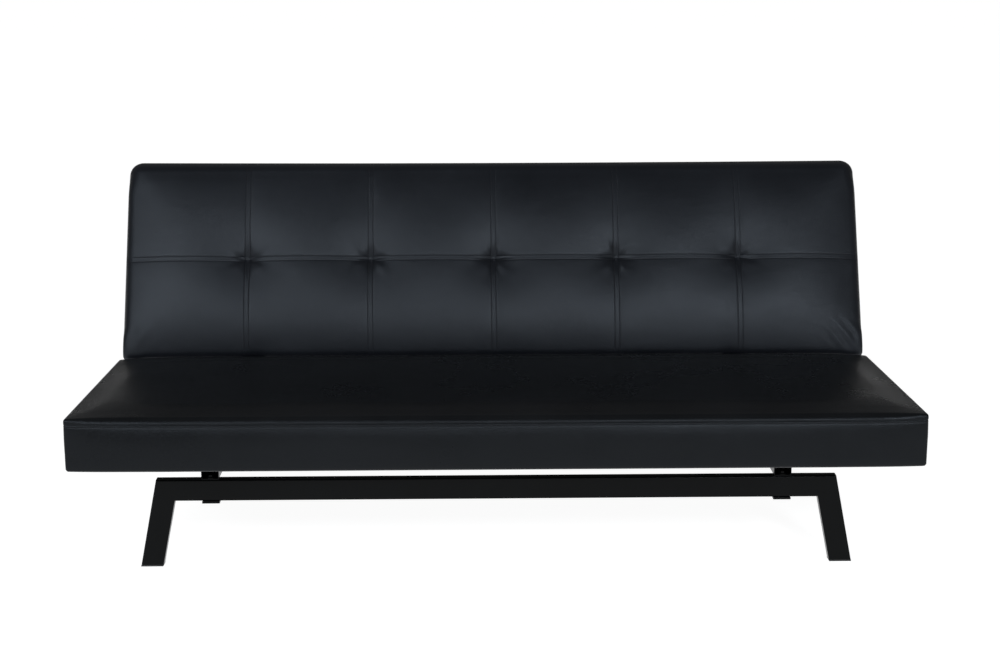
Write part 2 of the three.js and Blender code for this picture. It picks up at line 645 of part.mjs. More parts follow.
function padRise(u, v) {
  const across = crownShare(2 * panelShare(columnStops, u) - 1, 4);
  const along = crownShare(2 * panelShare(rowStops, v) - 1, 4);
  let rise = padCrown * crownShare(u, 12) * crownShare(v, 3) + panelCrown * across * along;
  const fromRow = (v - rowSeam) * backHalf.y;
  let seam = dip(fromRow, seamReach);
  for (const stop of columnStops.slice(1, -1)) {
    const fromColumn = (u - stop) * backHalf.x;
    seam = Math.max(seam, dip(fromColumn, seamReach));
    rise -= tuftDepth * dip(Math.hypot(fromColumn, fromRow), tuftReach);
  }
  return rise - seamDepth * seam;
}

const backForm = paddedForm(backHalf,
  withRounding(graded(columnStops, panelColumnShares), backRounding, backHalf.x),
  withRounding(graded(rowStops, panelRowShares), backRounding, backHalf.y),
  [-1, -1 + hemRounding / backHalf.z, 0, 1 - backRounding / backHalf.z, 1],
  { top: backRounding, hem: hemRounding, level: 0 },
  (u, v, w, point, corner) => {
    const waist = (1 + crownShare(w, 2)) / 2;
    if (v < 1) point.lerp(corner, fillShare);
    if (w === 1) point.z += padRise(u, v);
    if (v === 1) point.y -= topDraw * crownShare(u, 2) * waist;
  }).translate(0, pivotBelowBack + backLength / 2, middleZ);

const backLowY = pivotBelowBack;
const backHighY = pivotBelowBack + backLength;
const backBoltCuts = sides.map(([, side]) => rod('y',
  [side * (backArmInner - (flangeWidth - armThick) / 2), 0, -armBoltDrop], boltHole,
  backLowY - overrun, backLowY - plateThick + boltTip));
const backShell = backBoltCuts.reduce((body, hole) => body.subtract(hole),
  hollowed(solid(backForm), backWidth / 2, backLowY, backHighY, backQuilting, backRounding));
piece(back, 'back_cover', surface(backShell), backLeather);

const backRoom = filling(back, backWidth / 2, backLowY, backHighY, backQuilting, backRounding,
  { foam: 'back_foam', board: 'back_board', cloth: 'back_lining' });
timberFrame(back, backRoom, { near: 'back_bottom_rail', far: 'back_top_rail', end: 'back_end_rail' }, backBoltCuts);

// The origin lies on the floor under the middle of the whole sofa
sofa.updateMatrixWorld(true);
const reach = new THREE.Box3().setFromObject(sofa, true);
sofa.position.y = -(reach.min.y + reach.max.y) / 2;

export default sofa;
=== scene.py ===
import bmesh
import bpy
import numpy as np
from mathutils import Matrix, Vector


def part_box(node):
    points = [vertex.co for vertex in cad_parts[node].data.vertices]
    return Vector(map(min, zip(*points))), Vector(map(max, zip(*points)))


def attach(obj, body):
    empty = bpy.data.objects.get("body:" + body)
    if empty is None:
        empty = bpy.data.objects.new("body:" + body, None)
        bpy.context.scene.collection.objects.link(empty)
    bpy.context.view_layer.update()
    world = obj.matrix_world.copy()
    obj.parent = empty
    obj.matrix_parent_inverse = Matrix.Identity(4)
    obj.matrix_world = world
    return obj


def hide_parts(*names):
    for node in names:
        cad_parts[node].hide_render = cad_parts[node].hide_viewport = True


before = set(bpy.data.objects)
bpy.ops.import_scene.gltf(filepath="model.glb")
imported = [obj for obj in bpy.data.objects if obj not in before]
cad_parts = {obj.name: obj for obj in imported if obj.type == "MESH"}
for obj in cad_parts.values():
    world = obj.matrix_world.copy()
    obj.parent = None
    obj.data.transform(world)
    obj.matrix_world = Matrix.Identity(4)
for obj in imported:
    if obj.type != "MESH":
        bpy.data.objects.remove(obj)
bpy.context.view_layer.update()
bpy.context.scene.view_settings.view_transform = "Standard"


# Camera
# It stands in front of the sofa, a little left of its middle, and looks slightly down through a long lens.
image_width = 1000
sensor_width = 36
focal_pixels = 1592.4
camera_place = Vector((-0.0494, -3.7806, 1.3957))
camera_yaw = np.radians(0.939)
camera_pitch = np.radians(13.914)
camera_roll = np.radians(-0.090)


def shown(name, data):
    """A new object that holds the data, in the scene."""
    made = bpy.data.objects.new(name, data)
    bpy.context.scene.collection.objects.link(made)
    return made


camera_data = bpy.data.cameras.new("camera")
camera_data.sensor_width = sensor_width
camera_data.lens = sensor_width * focal_pixels / image_width
camera = shown("camera", camera_data)
camera.matrix_world = (
    Matrix.Translation(camera_place)
    @ Matrix.Rotation(-camera_yaw, 4, "Z")
    @ Matrix.Rotation(np.pi / 2 - camera_pitch, 4, "X")
    @ Matrix.Rotation(camera_roll, 4, "Z")
)
bpy.context.scene.camera = camera


# Studio
# A wide white floor in a room that is white to look at, but lights the sofa more from the front and low down
# than from behind and overhead. Large soft lamps stand in front: a main one on the left, a broad one behind
# the camera and two small ones on the right, one far off and one low.
white = (1, 1, 1, 1)
lamp_colour = (0.9, 0.95, 1.0)
floor_size = 60
floor_grey = (0.4, 0.4, 0.4, 1)
floor_glow = 0.93
room_front = (-0.1, 0.5)
room_low = (-0.66, -0.30)
room_least = 0.15
room_more = 0.30


def node(tree, kind, sockets, **settings):
    """A node with its settings. Each socket, by name or number, gets a plain value or a link to an output."""
    made = tree.nodes.new(kind)
    for name, value in settings.items():
        setattr(made, name, value)
    for socket, value in sockets.items():
        if isinstance(value, bpy.types.NodeSocket):
            tree.links.new(value, made.inputs[socket])
        else:
            made.inputs[socket].default_value = value
    return made


def reckoned(tree, operation, *values, clamp=False):
    """The result of one step of arithmetic on plain values and outputs."""
    step = node(tree, "ShaderNodeMath", dict(enumerate(values)), operation=operation, use_clamp=clamp)
    return step.outputs[0]


def spread(tree, value, low, high, start=0.0, end=1.0, curve="LINEAR"):
    """Maps a changing value between two limits."""
    sockets = {"Value": value, "From Min": start, "From Max": end, "To Min": low, "To Max": high}
    return node(tree, "ShaderNodeMapRange", sockets, interpolation_type=curve).outputs["Result"]


def new_material(name):
    """An empty node material and its tree."""
    material = bpy.data.materials.new(name)
    material.use_nodes = True
    material.node_tree.nodes.clear()
    return material, material.node_tree


def mesh_object(name, points, faces):
    """A new object at the origin from arrays of points and lists of faces."""
    mesh = bpy.data.meshes.new(name)
    mesh.from_pydata(np.asarray(points, float).reshape(-1, 3).tolist(), [], faces)
    return shown(name, mesh)


world = bpy.data.worlds.new("studio")
bpy.context.scene.world = world
world.use_nodes = True
tree = world.node_tree
tree.nodes.clear()
incoming = node(tree, "ShaderNodeNewGeometry", {}).outputs["Incoming"]
sight = node(tree, "ShaderNodeSeparateXYZ", {0: incoming}).outputs
from_front = spread(tree, sight["Y"], 0, 1, *room_front, "SMOOTHSTEP")
from_below = spread(tree, sight["Z"], 0, 1, *room_low, "SMOOTHSTEP")
room_share = reckoned(tree, "MULTIPLY", from_front, from_below)
room_light = reckoned(tree, "MULTIPLY_ADD", room_share, room_more, room_least)
rays = node(tree, "ShaderNodeLightPath", {}).outputs
room_seen = reckoned(tree, "MAXIMUM", rays["Is Camera Ray"], room_light)
room = node(tree, "ShaderNodeBackground", {"Color": white, "Strength": room_seen})
node(tree, "ShaderNodeOutputWorld", {"Surface": room.outputs[0]})

floor = mesh_object("floor", [(-floor_size, -floor_size, 0), (floor_size, -floor_size, 0),
                              (floor_size, floor_size, 0), (-floor_size, floor_size, 0)], [(0, 1, 2, 3)])
floor_paint, tree = new_material("floor_paint")
rays = node(tree, "ShaderNodeLightPath", {}).outputs
seen = reckoned(tree, "MAXIMUM", reckoned(tree, "MAXIMUM", rays["Is Camera Ray"], rays["Is Glossy Ray"]),
                rays["Is Transmission Ray"])
diffuse = node(tree, "ShaderNodeBsdfDiffuse", {"Color": floor_grey})
floor_light = reckoned(tree, "MULTIPLY", seen, floor_glow)
glow = node(tree, "ShaderNodeEmission", {"Color": white, "Strength": floor_light})
both = node(tree, "ShaderNodeAddShader", {0: diffuse.outputs[0], 1: glow.outputs[0]})
node(tree, "ShaderNodeOutputMaterial", {"Surface": both.outputs[0]})
floor.data.materials.append(floor_paint)

for name, place, target, width, height, power in (
        ("main_lamp", (-2.8, -3.7, 3.1), (-0.2, 0, 0.4), 1.7, 1.9, 82),
        ("front_lamp", (0.2, -4.8, 3.0), (0, 0, 0.4), 3.0, 0.9, 18),
        ("right_lamp", (2.2, -8.0, 4.6), (0.4, 0.1, 0.4), 1.2, 1.1, 180),
        ("low_lamp", (1.6, -3.9, 1.7), (0.6, 0, 0.4), 0.6, 0.4, 7)):
    lamp_data = bpy.data.lights.new(name, "AREA")
    lamp_data.shape = "RECTANGLE"
    lamp_data.size = width
    lamp_data.size_y = height
    lamp_data.energy = power
    lamp_data.color = lamp_colour
    lamp = shown(name, lamp_data)
    lamp.location = place
    lamp.rotation_euler = (Vector(target) - Vector(place)).to_track_quat("-Z", "Y").to_euler()


# Rails and legs
# The under-frame's two trestles are 50 x 25 mm steel tube with a 2 mm wall, mitred at the corners, welded,
# ground smooth and powder coated in satin black. The corners of the tube are rounded.
tube_face = 0.050
tube_wall = 0.002
tube_corner = 0.0032
rail_half_span = 0.773
rail_top = 0.208
rail_bottom = rail_top - tube_face
leg_splay = np.radians(12)
leg_section = tube_face / np.cos(leg_splay)
glide_thick = 0.004
hands = {"left": -1, "right": 1}
tiny = 1e-6


def mended(made):
    """Merges the doubles of a closed mesh and turns its faces outwards."""
    work = bmesh.new()
    work.from_mesh(made.data)
    bmesh.ops.remove_doubles(work, verts=work.verts, dist=tiny)
    bmesh.ops.dissolve_degenerate(work, edges=work.edges, dist=tiny)
    bmesh.ops.recalc_face_normals(work, faces=work.faces)
    work.to_mesh(made.data)
    work.free()
    return made


def smoothed(made, angle=35):
    """Smooth shading, broken at edges sharper than an angle in degrees."""
    made.data.shade_smooth()
    made.data.set_sharp_from_angle(angle=np.radians(angle))
    return made


def fitted(made, body, slot, material, stands_for=None):
    """Gives a piece its material, lets it ride on a CAD body and puts it in a CAD node's place. The slot is
    not used.
    """
    made.data.materials.clear()
    made.data.materials.append(material)
    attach(made, body)
    if stands_for:
        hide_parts(stands_for)
    return made


def quads(rows, columns, rows_closed=False, columns_closed=False):
    """Corner numbers of the faces of a grid of points, its last row or column joined to the first if
    closed."""
    row, column = np.meshgrid(np.arange(rows if rows_closed else rows - 1),
                              np.arange(columns if columns_closed else columns - 1), indexing="ij")
    below = (row + 1) % rows
    beside = (column + 1) % columns
    row, below = row * columns, below * columns
    return np.stack([row + column, row + beside, below + beside, below + column], axis=-1).reshape(-1, 4)


def rounded_rectangle(low, high, corner, steps=6):
    """A closed line of points: each corner's centre plus the radius times cosine and sine of its angle,
    and a point just past each end of an arc, so that the flat sides stay flat in the light."""
    support = corner / 5
    lines = []
    for quarter in range(4):
        turn = np.linspace(0, np.pi / 2, steps + 1) + quarter * np.pi / 2
        centre = np.where([np.cos(turn.mean()) > 0, np.sin(turn.mean()) > 0], high - corner, low + corner)
        arc = centre + corner * np.stack([np.cos(turn), np.sin(turn)], axis=-1)
        before = np.array([np.sin(turn[0]), -np.cos(turn[0])]) * support
        after = np.array([-np.sin(turn[-1]), np.cos(turn[-1])]) * support
        lines += [arc[:1] + before, arc, arc[-1:] + after]
    return np.vstack(lines)


def tube(name, low, high, first, last):
    """A hollow tube between the corners of its section. The outer and the inner skin's closed lines are each
    carried from one end to the other, and the four rings of points join round into one closed surface."""
    low, high = np.array(low), np.array(high)
    outer = rounded_rectangle(low, high, tube_corner)
    inner = rounded_rectangle(low + tube_wall, high - tube_wall, tube_corner - tube_wall)
    rings = np.stack([first(outer), last(outer), last(inner), first(inner)])
    return smoothed(mended(mesh_object(name, rings, quads(4, len(outer), True, True).tolist())))


def leg_outer(z):
    """How far out a leg's outer face stands at a height: the rail's half span plus the splay's share."""
    return rail_half_span + (rail_top - z) * np.tan(leg_splay)


mitre = (rail_half_span - leg_outer(rail_bottom) + leg_section) / tube_face


def rail_end(side):
    """The rail's mitred end: how far out a point lies falls off below the rail's top."""
    return lambda line: np.stack([side * (rail_half_span - (rail_top - line[:, 1]) * mitre),
                                  line[:, 0], line[:, 1]], axis=-1)


def leg_end(side, height):
    """An end of a leg: each point at the height that the end has there, so far in from the outer face."""
    return lambda line: np.stack([side * (leg_outer(height(line)) - line[:, 0]), line[:, 1],
                                  height(line)], axis=-1)


def leg_top(line):
    """The mitred top, where the leg's slope and the mitre's meet."""
    return rail_top - line[:, 0] / (np.tan(leg_splay) + mitre)


def leg_foot(line):
    """The foot, cut level above the glide's sole."""
    return np.full(len(line), glide_thick)


# Effects that several finishes share: a pebbled grain, and slow changes of tone with fine dust
def effect_group(name, inputs, outputs):
    """A node group with named float inputs and outputs, and a vector input for the place on the piece."""
    group = bpy.data.node_groups.new(name, "ShaderNodeTree")
    group.interface.new_socket("Place", in_out="INPUT", socket_type="NodeSocketVector")
    for label, value in inputs.items():
        group.interface.new_socket(label, in_out="INPUT", socket_type="NodeSocketFloat").default_value = value
    for label in outputs:
        group.interface.new_socket(label, in_out="OUTPUT", socket_type="NodeSocketFloat")
    return group, node(group, "NodeGroupInput", {}).outputs


pebble_shift = (0.0012, 0.0012, 0.0012)
pebble_edge = 0.28
grain_group, given = effect_group("pebbled_grain", {"Cells per metre": 900.0, "Unevenness": 0.4},
                                  ["Height", "Hollows"])
warp = node(grain_group, "ShaderNodeTexNoise", {"Vector": given["Place"], "Scale": 240.0, "Detail": 2.0})
warped = node(grain_group, "ShaderNodeVectorMath",
              {0: warp.outputs["Color"], 1: pebble_shift, 2: given["Place"]}, operation="MULTIPLY_ADD")
cells = node(grain_group, "ShaderNodeTexVoronoi",
             {"Vector": warped.outputs[0], "Scale": given["Cells per metre"]}, feature="DISTANCE_TO_EDGE")
pebbles = spread(grain_group, cells.outputs["Distance"], 0, 1, 0, pebble_edge, "SMOOTHSTEP")
rough = node(grain_group, "ShaderNodeTexNoise", {"Vector": given["Place"], "Scale": 420.0, "Detail": 3.0})
node(grain_group, "NodeGroupOutput", {
    "Height": reckoned(grain_group, "MULTIPLY_ADD", rough.outputs["Fac"], given["Unevenness"], pebbles),
    "Hollows": reckoned(grain_group, "SUBTRACT", 1, pebbles)})

speck_share = 0.5
upward_least = 0.5
tone_group, given = effect_group("tone_and_dust", {"Patches per metre": 6.0, "Dust": 0.2}, ["Tone", "Dust"])
patches = node(tone_group, "ShaderNodeTexNoise", {
    "Vector": given["Place"], "Scale": given["Patches per metre"], "Detail": 5.0, "Roughness": 0.6})
patches = patches.outputs["Fac"]
specks = node(tone_group, "ShaderNodeTexNoise", {"Vector": given["Place"], "Scale": 900.0, "Detail": 2.0})
specks = spread(tone_group, specks.outputs["Fac"], 0, 1, 0.62, 0.78)
facing = node(tone_group, "ShaderNodeNewGeometry", {}).outputs["Normal"]
upward = node(tone_group, "ShaderNodeSeparateXYZ", {0: facing}).outputs["Z"]
veil = reckoned(tone_group, "MULTIPLY", reckoned(tone_group, "MAXIMUM", upward, upward_least), patches)
dust = reckoned(tone_group, "MULTIPLY_ADD", specks, speck_share, veil, clamp=True)
node(tone_group, "NodeGroupOutput", {
    "Tone": patches, "Dust": reckoned(tone_group, "MULTIPLY", dust, given["Dust"])})


def finish_nodes(name, grain_scale, unevenness, patch_scale, dust):
    """A material with Object coordinates and the outputs of the two shared effects."""
    material, tree = new_material(name)
    place = node(tree, "ShaderNodeTexCoord", {}).outputs["Object"]
    grain = node(tree, "ShaderNodeGroup", {"Place": place, "Cells per metre": grain_scale,
                                           "Unevenness": unevenness}, node_tree=grain_group)
    tone = node(tree, "ShaderNodeGroup", {"Place": place, "Patches per metre": patch_scale, "Dust": dust},
                node_tree=tone_group)
    return material, tree, place, grain.outputs, tone.outputs


def surfaced(material, sockets):
    """Ends a material with its Principled shader."""
    shader = node(material.node_tree, "ShaderNodeBsdfPrincipled", sockets)
    node(material.node_tree, "ShaderNodeOutputMaterial", {"Surface": shader.outputs[0]})
    return material


def mixed(tree, share, low, high, blend="MIX"):
    """Blends two colours, plain or changing, by a share that changes over the surface."""
    low, high = [(*colour, 1) if isinstance(colour, tuple) else colour for colour in (low, high)]
    return node(tree, "ShaderNodeMix", {"Factor": share, 6: low, 7: high}, data_type="RGBA",
                blend_type=blend).outputs[2]


def bumped(tree, height, distance, strength, below=None):
    """A bump for a height in metres times the distance, laid over another bump if there is one."""
    sockets = {"Height": height, "Distance": distance, "Strength": strength}
    if below is not None:
        sockets["Normal"] = below
    return node(tree, "ShaderNodeBump", sockets).outputs["Normal"]


tone_range = (0.3, 0.7)


def plain_finish(name, low, high, roughness, grain_scale, depth, dust=0.15, metallic=0.0, specular=0.5):
    """A paint, plastic, rubber or metal: tone changes in slow patches, gloss with them, and a fine grain."""
    material, tree, place, grain, tone = finish_nodes(name, grain_scale, 0.6, 9.0, dust)
    colour = mixed(tree, spread(tree, tone["Tone"], 0, 1, *tone_range), low, high)
    dust_shade = tuple(0.12 + 0.6 * part for part in high)
    return surfaced(material, {
        "Base Color": mixed(tree, tone["Dust"], colour, dust_shade),
        "Roughness": spread(tree, tone["Tone"], roughness - 0.06, roughness + 0.06, *tone_range),
        "Normal": bumped(tree, grain["Height"], depth, 1.0),
        "Metallic": metallic,
        "Specular IOR Level": specular})


powder_coat = plain_finish("powder_coat", (0.0026, 0.0030, 0.0033), (0.0040, 0.0046, 0.0050), 0.22, 700,
                           0.00001, dust=0.01, specular=0.085)

for end in ("front", "rear"):
    low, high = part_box(f"{end}_rail")
    rail = tube(f"{end}_rail_tube", (low.y, rail_bottom), (high.y, rail_top), rail_end(-1), rail_end(1))
    fitted(rail, "frame", "frame_steel", powder_coat, f"{end}_rail")
    for hand, side in hands.items():
        leg = tube(f"{end}_leg_{hand}_tube", (0, low.y), (leg_section, high.y),
                   leg_end(side, leg_top), leg_end(side, leg_foot))
        fitted(leg, "frame", "frame_steel", powder_coat, f"{end}_leg_{hand}")


# Foot glides
# Plugs of black polyethylene pushed into the legs, each with a flat sole that stands 4 mm out of the tube.
black_plastic = plain_finish("black_plastic", (0.016, 0.016, 0.017), (0.028, 0.028, 0.029), 0.55, 500,
                             0.00003)
glide_edge = 0.0006


def eased(node_name, body, slot, material, edge):
    """A copy of a rigid CAD node, its doubles merged and its flat faces made whole, with every edge eased."""
    made = shown(f"{node_name}_eased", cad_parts[node_name].data.copy())
    work = bmesh.new()
    work.from_mesh(made.data)
    bmesh.ops.remove_doubles(work, verts=work.verts, dist=tiny)
    bmesh.ops.dissolve_limit(work, angle_limit=np.radians(1), verts=work.verts, edges=work.edges)
    work.to_mesh(made.data)
    work.free()
    if made.data.has_custom_normals:
        made.data.attributes.remove(made.data.attributes["custom_normal"])
    bevel = smoothed(made, 30).modifiers.new("eased_edges", "BEVEL")
    bevel.width = edge
    bevel.segments = 2
    bevel.limit_method = "ANGLE"
    bevel.angle_limit = np.radians(30)
    bevel.harden_normals = True
    return fitted(made, body, slot, material, node_name)


places = [f"{end}_{hand}" for end in ("front", "rear") for hand in hands]
for place in places:
    eased(f"foot_glide_{place}", "frame", "black_plastic", black_plastic, glide_edge)


# Bearers
# Two tubes, 40 x 25 mm, lie across the rails from front to rear and carry the fittings and the seat. The
# front ends are open. A plastic cap closes each rear end.
cap_edge = 0.0008


def bearer_end(y):
    """A square end: the section's line, at one place along the bearer."""
    return lambda line: np.stack([line[:, 0], np.full(len(line), y), line[:, 1]], axis=-1)


for hand in hands:
    low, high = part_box(f"bearer_{hand}")
    bearer = tube(f"bearer_{hand}_tube", (low.x, low.z), (high.x, high.z),
                  bearer_end(low.y), bearer_end(high.y))
    fitted(bearer, "frame", "frame_steel", powder_coat, f"bearer_{hand}")
    eased(f"bearer_cap_{hand}", "frame", "black_plastic", black_plastic, cap_edge)


# Clamp plates and bolts
# A plate under each crossing of bearer and rail, tapped for an M8 bolt whose head is inside the bearer.
# Plates and bolts are coated black like the tubes.
bolt_radius = 0.004
head_across = 0.013
head_height = 0.0055
head_chamfer = np.radians(30)
thread_pitch = 0.00125
thread_depth = 0.00035
thread_runout = 0.0006
washer_radius = 0.011
washer_thick = 0.0016
washer_edge = 0.0002
fit_gap = 0.0003
plate_thick = 0.005
plate_edge = 0.0008

zinc_plate = plain_finish("zinc_plate", (0.25, 0.26, 0.27), (0.36, 0.37, 0.375), 0.34, 260, 0.00001, 0.1, 0.9)


def turned(rings, sides):
    """Rings of points about the Z axis, each with a radius and a height that may change round it: the radius
    times cosine and sine of the angle."""
    angle = np.linspace(0, 2 * np.pi, sides, endpoint=False)
    points = [np.stack(np.broadcast_arrays(radius * np.cos(angle), radius * np.sin(angle), height), axis=-1)
              for radius, height in rings]
    return np.concatenate(points)


def lathed(profile, sides):
    """A lathe form: each radius and height of the profile is carried round the Z axis."""
    return turned(profile, sides), quads(len(profile), sides, columns_closed=True).tolist()


def hexagon_head(base, top, bore=0.0):
    """A hexagon between two heights whose corners are cut back by a cone: the height at a corner falls with
    the radius past the flats' own."""
    sides = 48
    flat = head_across / 2
    angle = np.linspace(0, 2 * np.pi, sides, endpoint=False)
    corner = flat / np.cos(angle % (np.pi / 3) - np.pi / 6)
    crown = 0.95 * flat if bore else 0
    cut = top - (corner - flat) * np.tan(head_chamfer)
    rings = [(bore, base), (0.97 * corner, base), (corner, base), (corner, cut), (crown, top), (bore, top)]
    return turned(rings, sides), quads(len(rings), sides, rows_closed=bore > 0, columns_closed=True).tolist()


def threaded_shank(top, bottom, plain):
    """A round shank along Z. Past its plain length the radius falls and rises with a helix: the distance to
    the nearest crest, where the crest climbs one pitch in each turn."""
    sides = 20
    angle = np.linspace(0, 2 * np.pi, sides, endpoint=False)
    start = top - plain
    rings = [(bolt_radius, top), (bolt_radius, start)]
    for height in np.arange(start - thread_pitch / 6, bottom + thread_runout, -thread_pitch / 6):
        turn = height / thread_pitch - angle / (2 * np.pi)
        ridge = np.abs(2 * (turn - np.floor(turn)) - 1)
        rings.append((bolt_radius - thread_depth * ridge, height))
    rings += [(bolt_radius - 2 * thread_depth, bottom), (0, bottom)]
    return lathed([(0, top)] + rings, sides)


def joined(name, parts, turn, at):
    """Several closed forms as one object, turned about the origin and moved to a point."""
    faces, count = [], 0
    for points, part_faces in parts:
        faces += [[corner + count for corner in face] for face in part_faces]
        count += len(points)
    points = np.concatenate([points for points, _ in parts]) @ np.array(turn.to_3x3()).T + np.array(at)
    return smoothed(mended(mesh_object(name, points, faces)), 28)


def hexagon_bolt(node_name, shank, washer, turn, at, body, slot, material):
    """A bolt whose head stands on its washer at z = 0, with the shank below."""
    parts = [hexagon_head(washer, washer + head_height),
             threaded_shank(washer + head_height / 2, -shank, shank / 3)]
    if washer:
        rim = washer_radius - washer_edge
        parts.append(lathed([(0, 0), (rim, 0), (washer_radius, washer_edge),
                             (washer_radius, washer - washer_edge), (rim, washer), (0, washer)], 40))
    fitted(joined(f"{node_name}_m8", parts, turn, at), body, slot, material, node_name)


for place in places:
    eased(f"clamp_plate_{place}", "frame", "frame_steel", powder_coat, plate_edge)
    low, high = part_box(f"clamp_bolt_{place}")
    seat_z = high.z - washer_thick - head_height
    hexagon_bolt(f"clamp_bolt_{place}", seat_z - low.z, washer_thick, Matrix.Identity(4),
                 ((low.x + high.x) / 2, (low.y + high.y) / 2, seat_z), "frame", "frame_steel", powder_coat)


# Seat bumpers
# Soft black rubber blocks, slightly tapered, stand on the bearers and hold up the front of the seat.
black_rubber = plain_finish("black_rubber", (0.006, 0.006, 0.006), (0.011, 0.011, 0.011), 0.78, 380,
                            0.00006, 0.3)
bumper_taper = 0.8
bumper_ease = 0.0015
dimple_radius = 3 * bumper_ease

for hand in hands:
    low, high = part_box(f"seat_bumper_{hand}")
    wide = (high.x - low.x) / 2
    narrow = wide * bumper_taper
    tall = high.z - low.z
    shy = bumper_ease * 0.3
    profile = [(0, 0), (wide - bumper_ease, 0), (wide - shy, shy), (wide, bumper_ease),
               (narrow, tall - bumper_ease), (narrow - shy, tall - shy), (narrow - bumper_ease, tall),
               (dimple_radius, tall), (dimple_radius * 0.8, tall - bumper_ease), (0, tall - bumper_ease)]
    bumper = joined(f"seat_bumper_{hand}_rubber", [lathed(profile, 48)], Matrix.Identity(4),
                    ((low.x + high.x) / 2, (low.y + high.y) / 2, low.z))
    fitted(bumper, "frame", "black_rubber", black_rubber, f"seat_bumper_{hand}")


# Click clack fittings
# A 5 mm bracket welded to each bearer holds the pivot bolt. Arms on the seat and on the back turn about it,
# and a sprung pawl clicks over the back arm's teeth. Plates are black, pawls, springs and bolts zinc plated.
pivot = Vector((0, 0.1426208, 0.3485356))
lean = {"seat": np.radians(-1.5), "back": np.radians(66)}
seat_arm_reach = -0.021 + fit_gap + plate_thick + fit_gap
back_arm_reach = 0.0140056 - 2 * fit_gap - plate_thick
arm_bolt_drop = 0.058
arm_bolt_length = 0.027

for hand, side in hands.items():
    for piece, body, slot, material, edge in (
            ("hinge_bracket", "frame", "frame_steel", powder_coat, 0.0004),
            ("seat_arm", "seat", "frame_steel", powder_coat, 0.0005),
            ("back_arm", "back", "frame_steel", powder_coat, 0.0004),
            ("ratchet_pawl", f"pawl_{hand}", "zinc_steel", zinc_plate, 0.0003),
            ("pawl_spring", "frame", "zinc_steel", zinc_plate, 0.0003)):
        eased(f"{piece}_{hand}", body, slot, material, edge)

    low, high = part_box(f"pivot_bolt_{hand}")
    head_x = (high.x - head_height) if side < 0 else (low.x + head_height)
    hexagon_bolt(f"pivot_bolt_{hand}", high.x - low.x - head_height, 0,
                 Matrix.Rotation(-side * np.pi / 2, 4, "Y"), (head_x, pivot.y, pivot.z), "frame",
                 "zinc_steel", zinc_plate)
    low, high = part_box(f"pivot_nut_{hand}")
    nut = joined(f"pivot_nut_{hand}_m8", [hexagon_head(0, high.x - low.x, bore=bolt_radius + fit_gap)],
                 Matrix.Rotation(np.pi / 2, 4, "Y"), (low.x, pivot.y, pivot.z))
    fitted(nut, "frame", "zinc_steel", zinc_plate, f"pivot_nut_{hand}")

    for body, reach, outward in (("seat", seat_arm_reach, -1), ("back", back_arm_reach, 1)):
        low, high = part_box(f"{body}_arm_bolt_{hand}")
        turn = Matrix.Rotation(lean[body], 4, "X")
        lying = turn @ Matrix.Rotation(outward * np.pi / 2, 4, "X")
        spot = pivot + turn @ Vector(((low.x + high.x) / 2, reach, -arm_bolt_drop))
        hexagon_bolt(f"{body}_arm_bolt_{hand}", arm_bolt_length, 0, lying, spot, body,
                     "zinc_steel", zinc_plate)


# Seat frame and padding
# Four pine rails and two stretchers, glued and stapled, carry a plywood deck and a slab of cut foam.
def wood_finish(name, early, late, along, ring_scale):
    """Sawn pine: rings far larger than the rail, cut through along its length, with fine fibre lines."""
    material, tree, place, grain, tone = finish_nodes(name, 1400, 0.8, 5.0, 0.25)
    stretch = tuple(0.06 if axis == along else 1.0 for axis in "XYZ")
    length = node(tree, "ShaderNodeMapping", {"Vector": place, "Scale": stretch}).outputs[0]
    sway = node(tree, "ShaderNodeTexNoise", {"Vector": length, "Scale": 9.0, "Detail": 3.0})
    swayed = node(tree, "ShaderNodeVectorMath", {0: sway.outputs["Color"], 1: (0.03, 0.03, 0.03), 2: length},
                  operation="MULTIPLY_ADD")
    rings = node(tree, "ShaderNodeTexWave",
                 {"Vector": swayed.outputs[0], "Scale": ring_scale, "Distortion": 1.5, "Detail": 2.0},
                 wave_type="RINGS", rings_direction=along, wave_profile="SAW")
    fibres = node(tree, "ShaderNodeTexNoise", {"Vector": length, "Scale": 700.0, "Detail": 4.0})
    fibres = fibres.outputs["Fac"]
    late_share = spread(tree, rings.outputs["Fac"], 0.0, 0.65)
    shade = reckoned(tree, "MULTIPLY_ADD", fibres, 0.35, late_share, clamp=True)
    return surfaced(material, {
        "Base Color": mixed(tree, tone["Dust"], mixed(tree, shade, early, late), (0.5, 0.42, 0.3)),
        "Roughness": spread(tree, fibres, 0.62, 0.85),
        "Normal": bumped(tree, fibres, 0.0003, 0.6)})


pine_along_x = wood_finish("pine_along_x", (0.60, 0.42, 0.22), (0.42, 0.24, 0.10), "X", 38.0)
pine_along_y = wood_finish("pine_along_y", (0.60, 0.42, 0.22), (0.42, 0.24, 0.10), "Y", 38.0)
plywood = wood_finish("plywood", (0.38, 0.22, 0.10), (0.26, 0.13, 0.055), "X", 12.0)


def finished(material, *node_names):
    """Gives CAD nodes that stay as they are their material."""
    for node_name in node_names:
        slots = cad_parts[node_name].data.materials
        slots.clear()
        slots.append(material)


finished(pine_along_x, "seat_front_rail", "seat_rear_rail")
finished(pine_along_y, "seat_end_rail_left", "seat_end_rail_right", "seat_stretcher_left",
         "seat_stretcher_right")
finished(plywood, "seat_deck")

cream_foam, tree, place, grain, tone = finish_nodes("cream_foam", 650, 0.9, 14.0, 0.1)
surfaced(cream_foam, {
    # Painted shade: the foam's colour is darker in the grain's hollows, its pores.
    "Base Color": mixed(tree, grain["Hollows"], (0.74, 0.66, 0.45), (0.52, 0.44, 0.28)),
    "Roughness": spread(tree, tone["Tone"], 0.85, 0.98),
    "Normal": bumped(tree, grain["Height"], 0.0006, 0.8)})


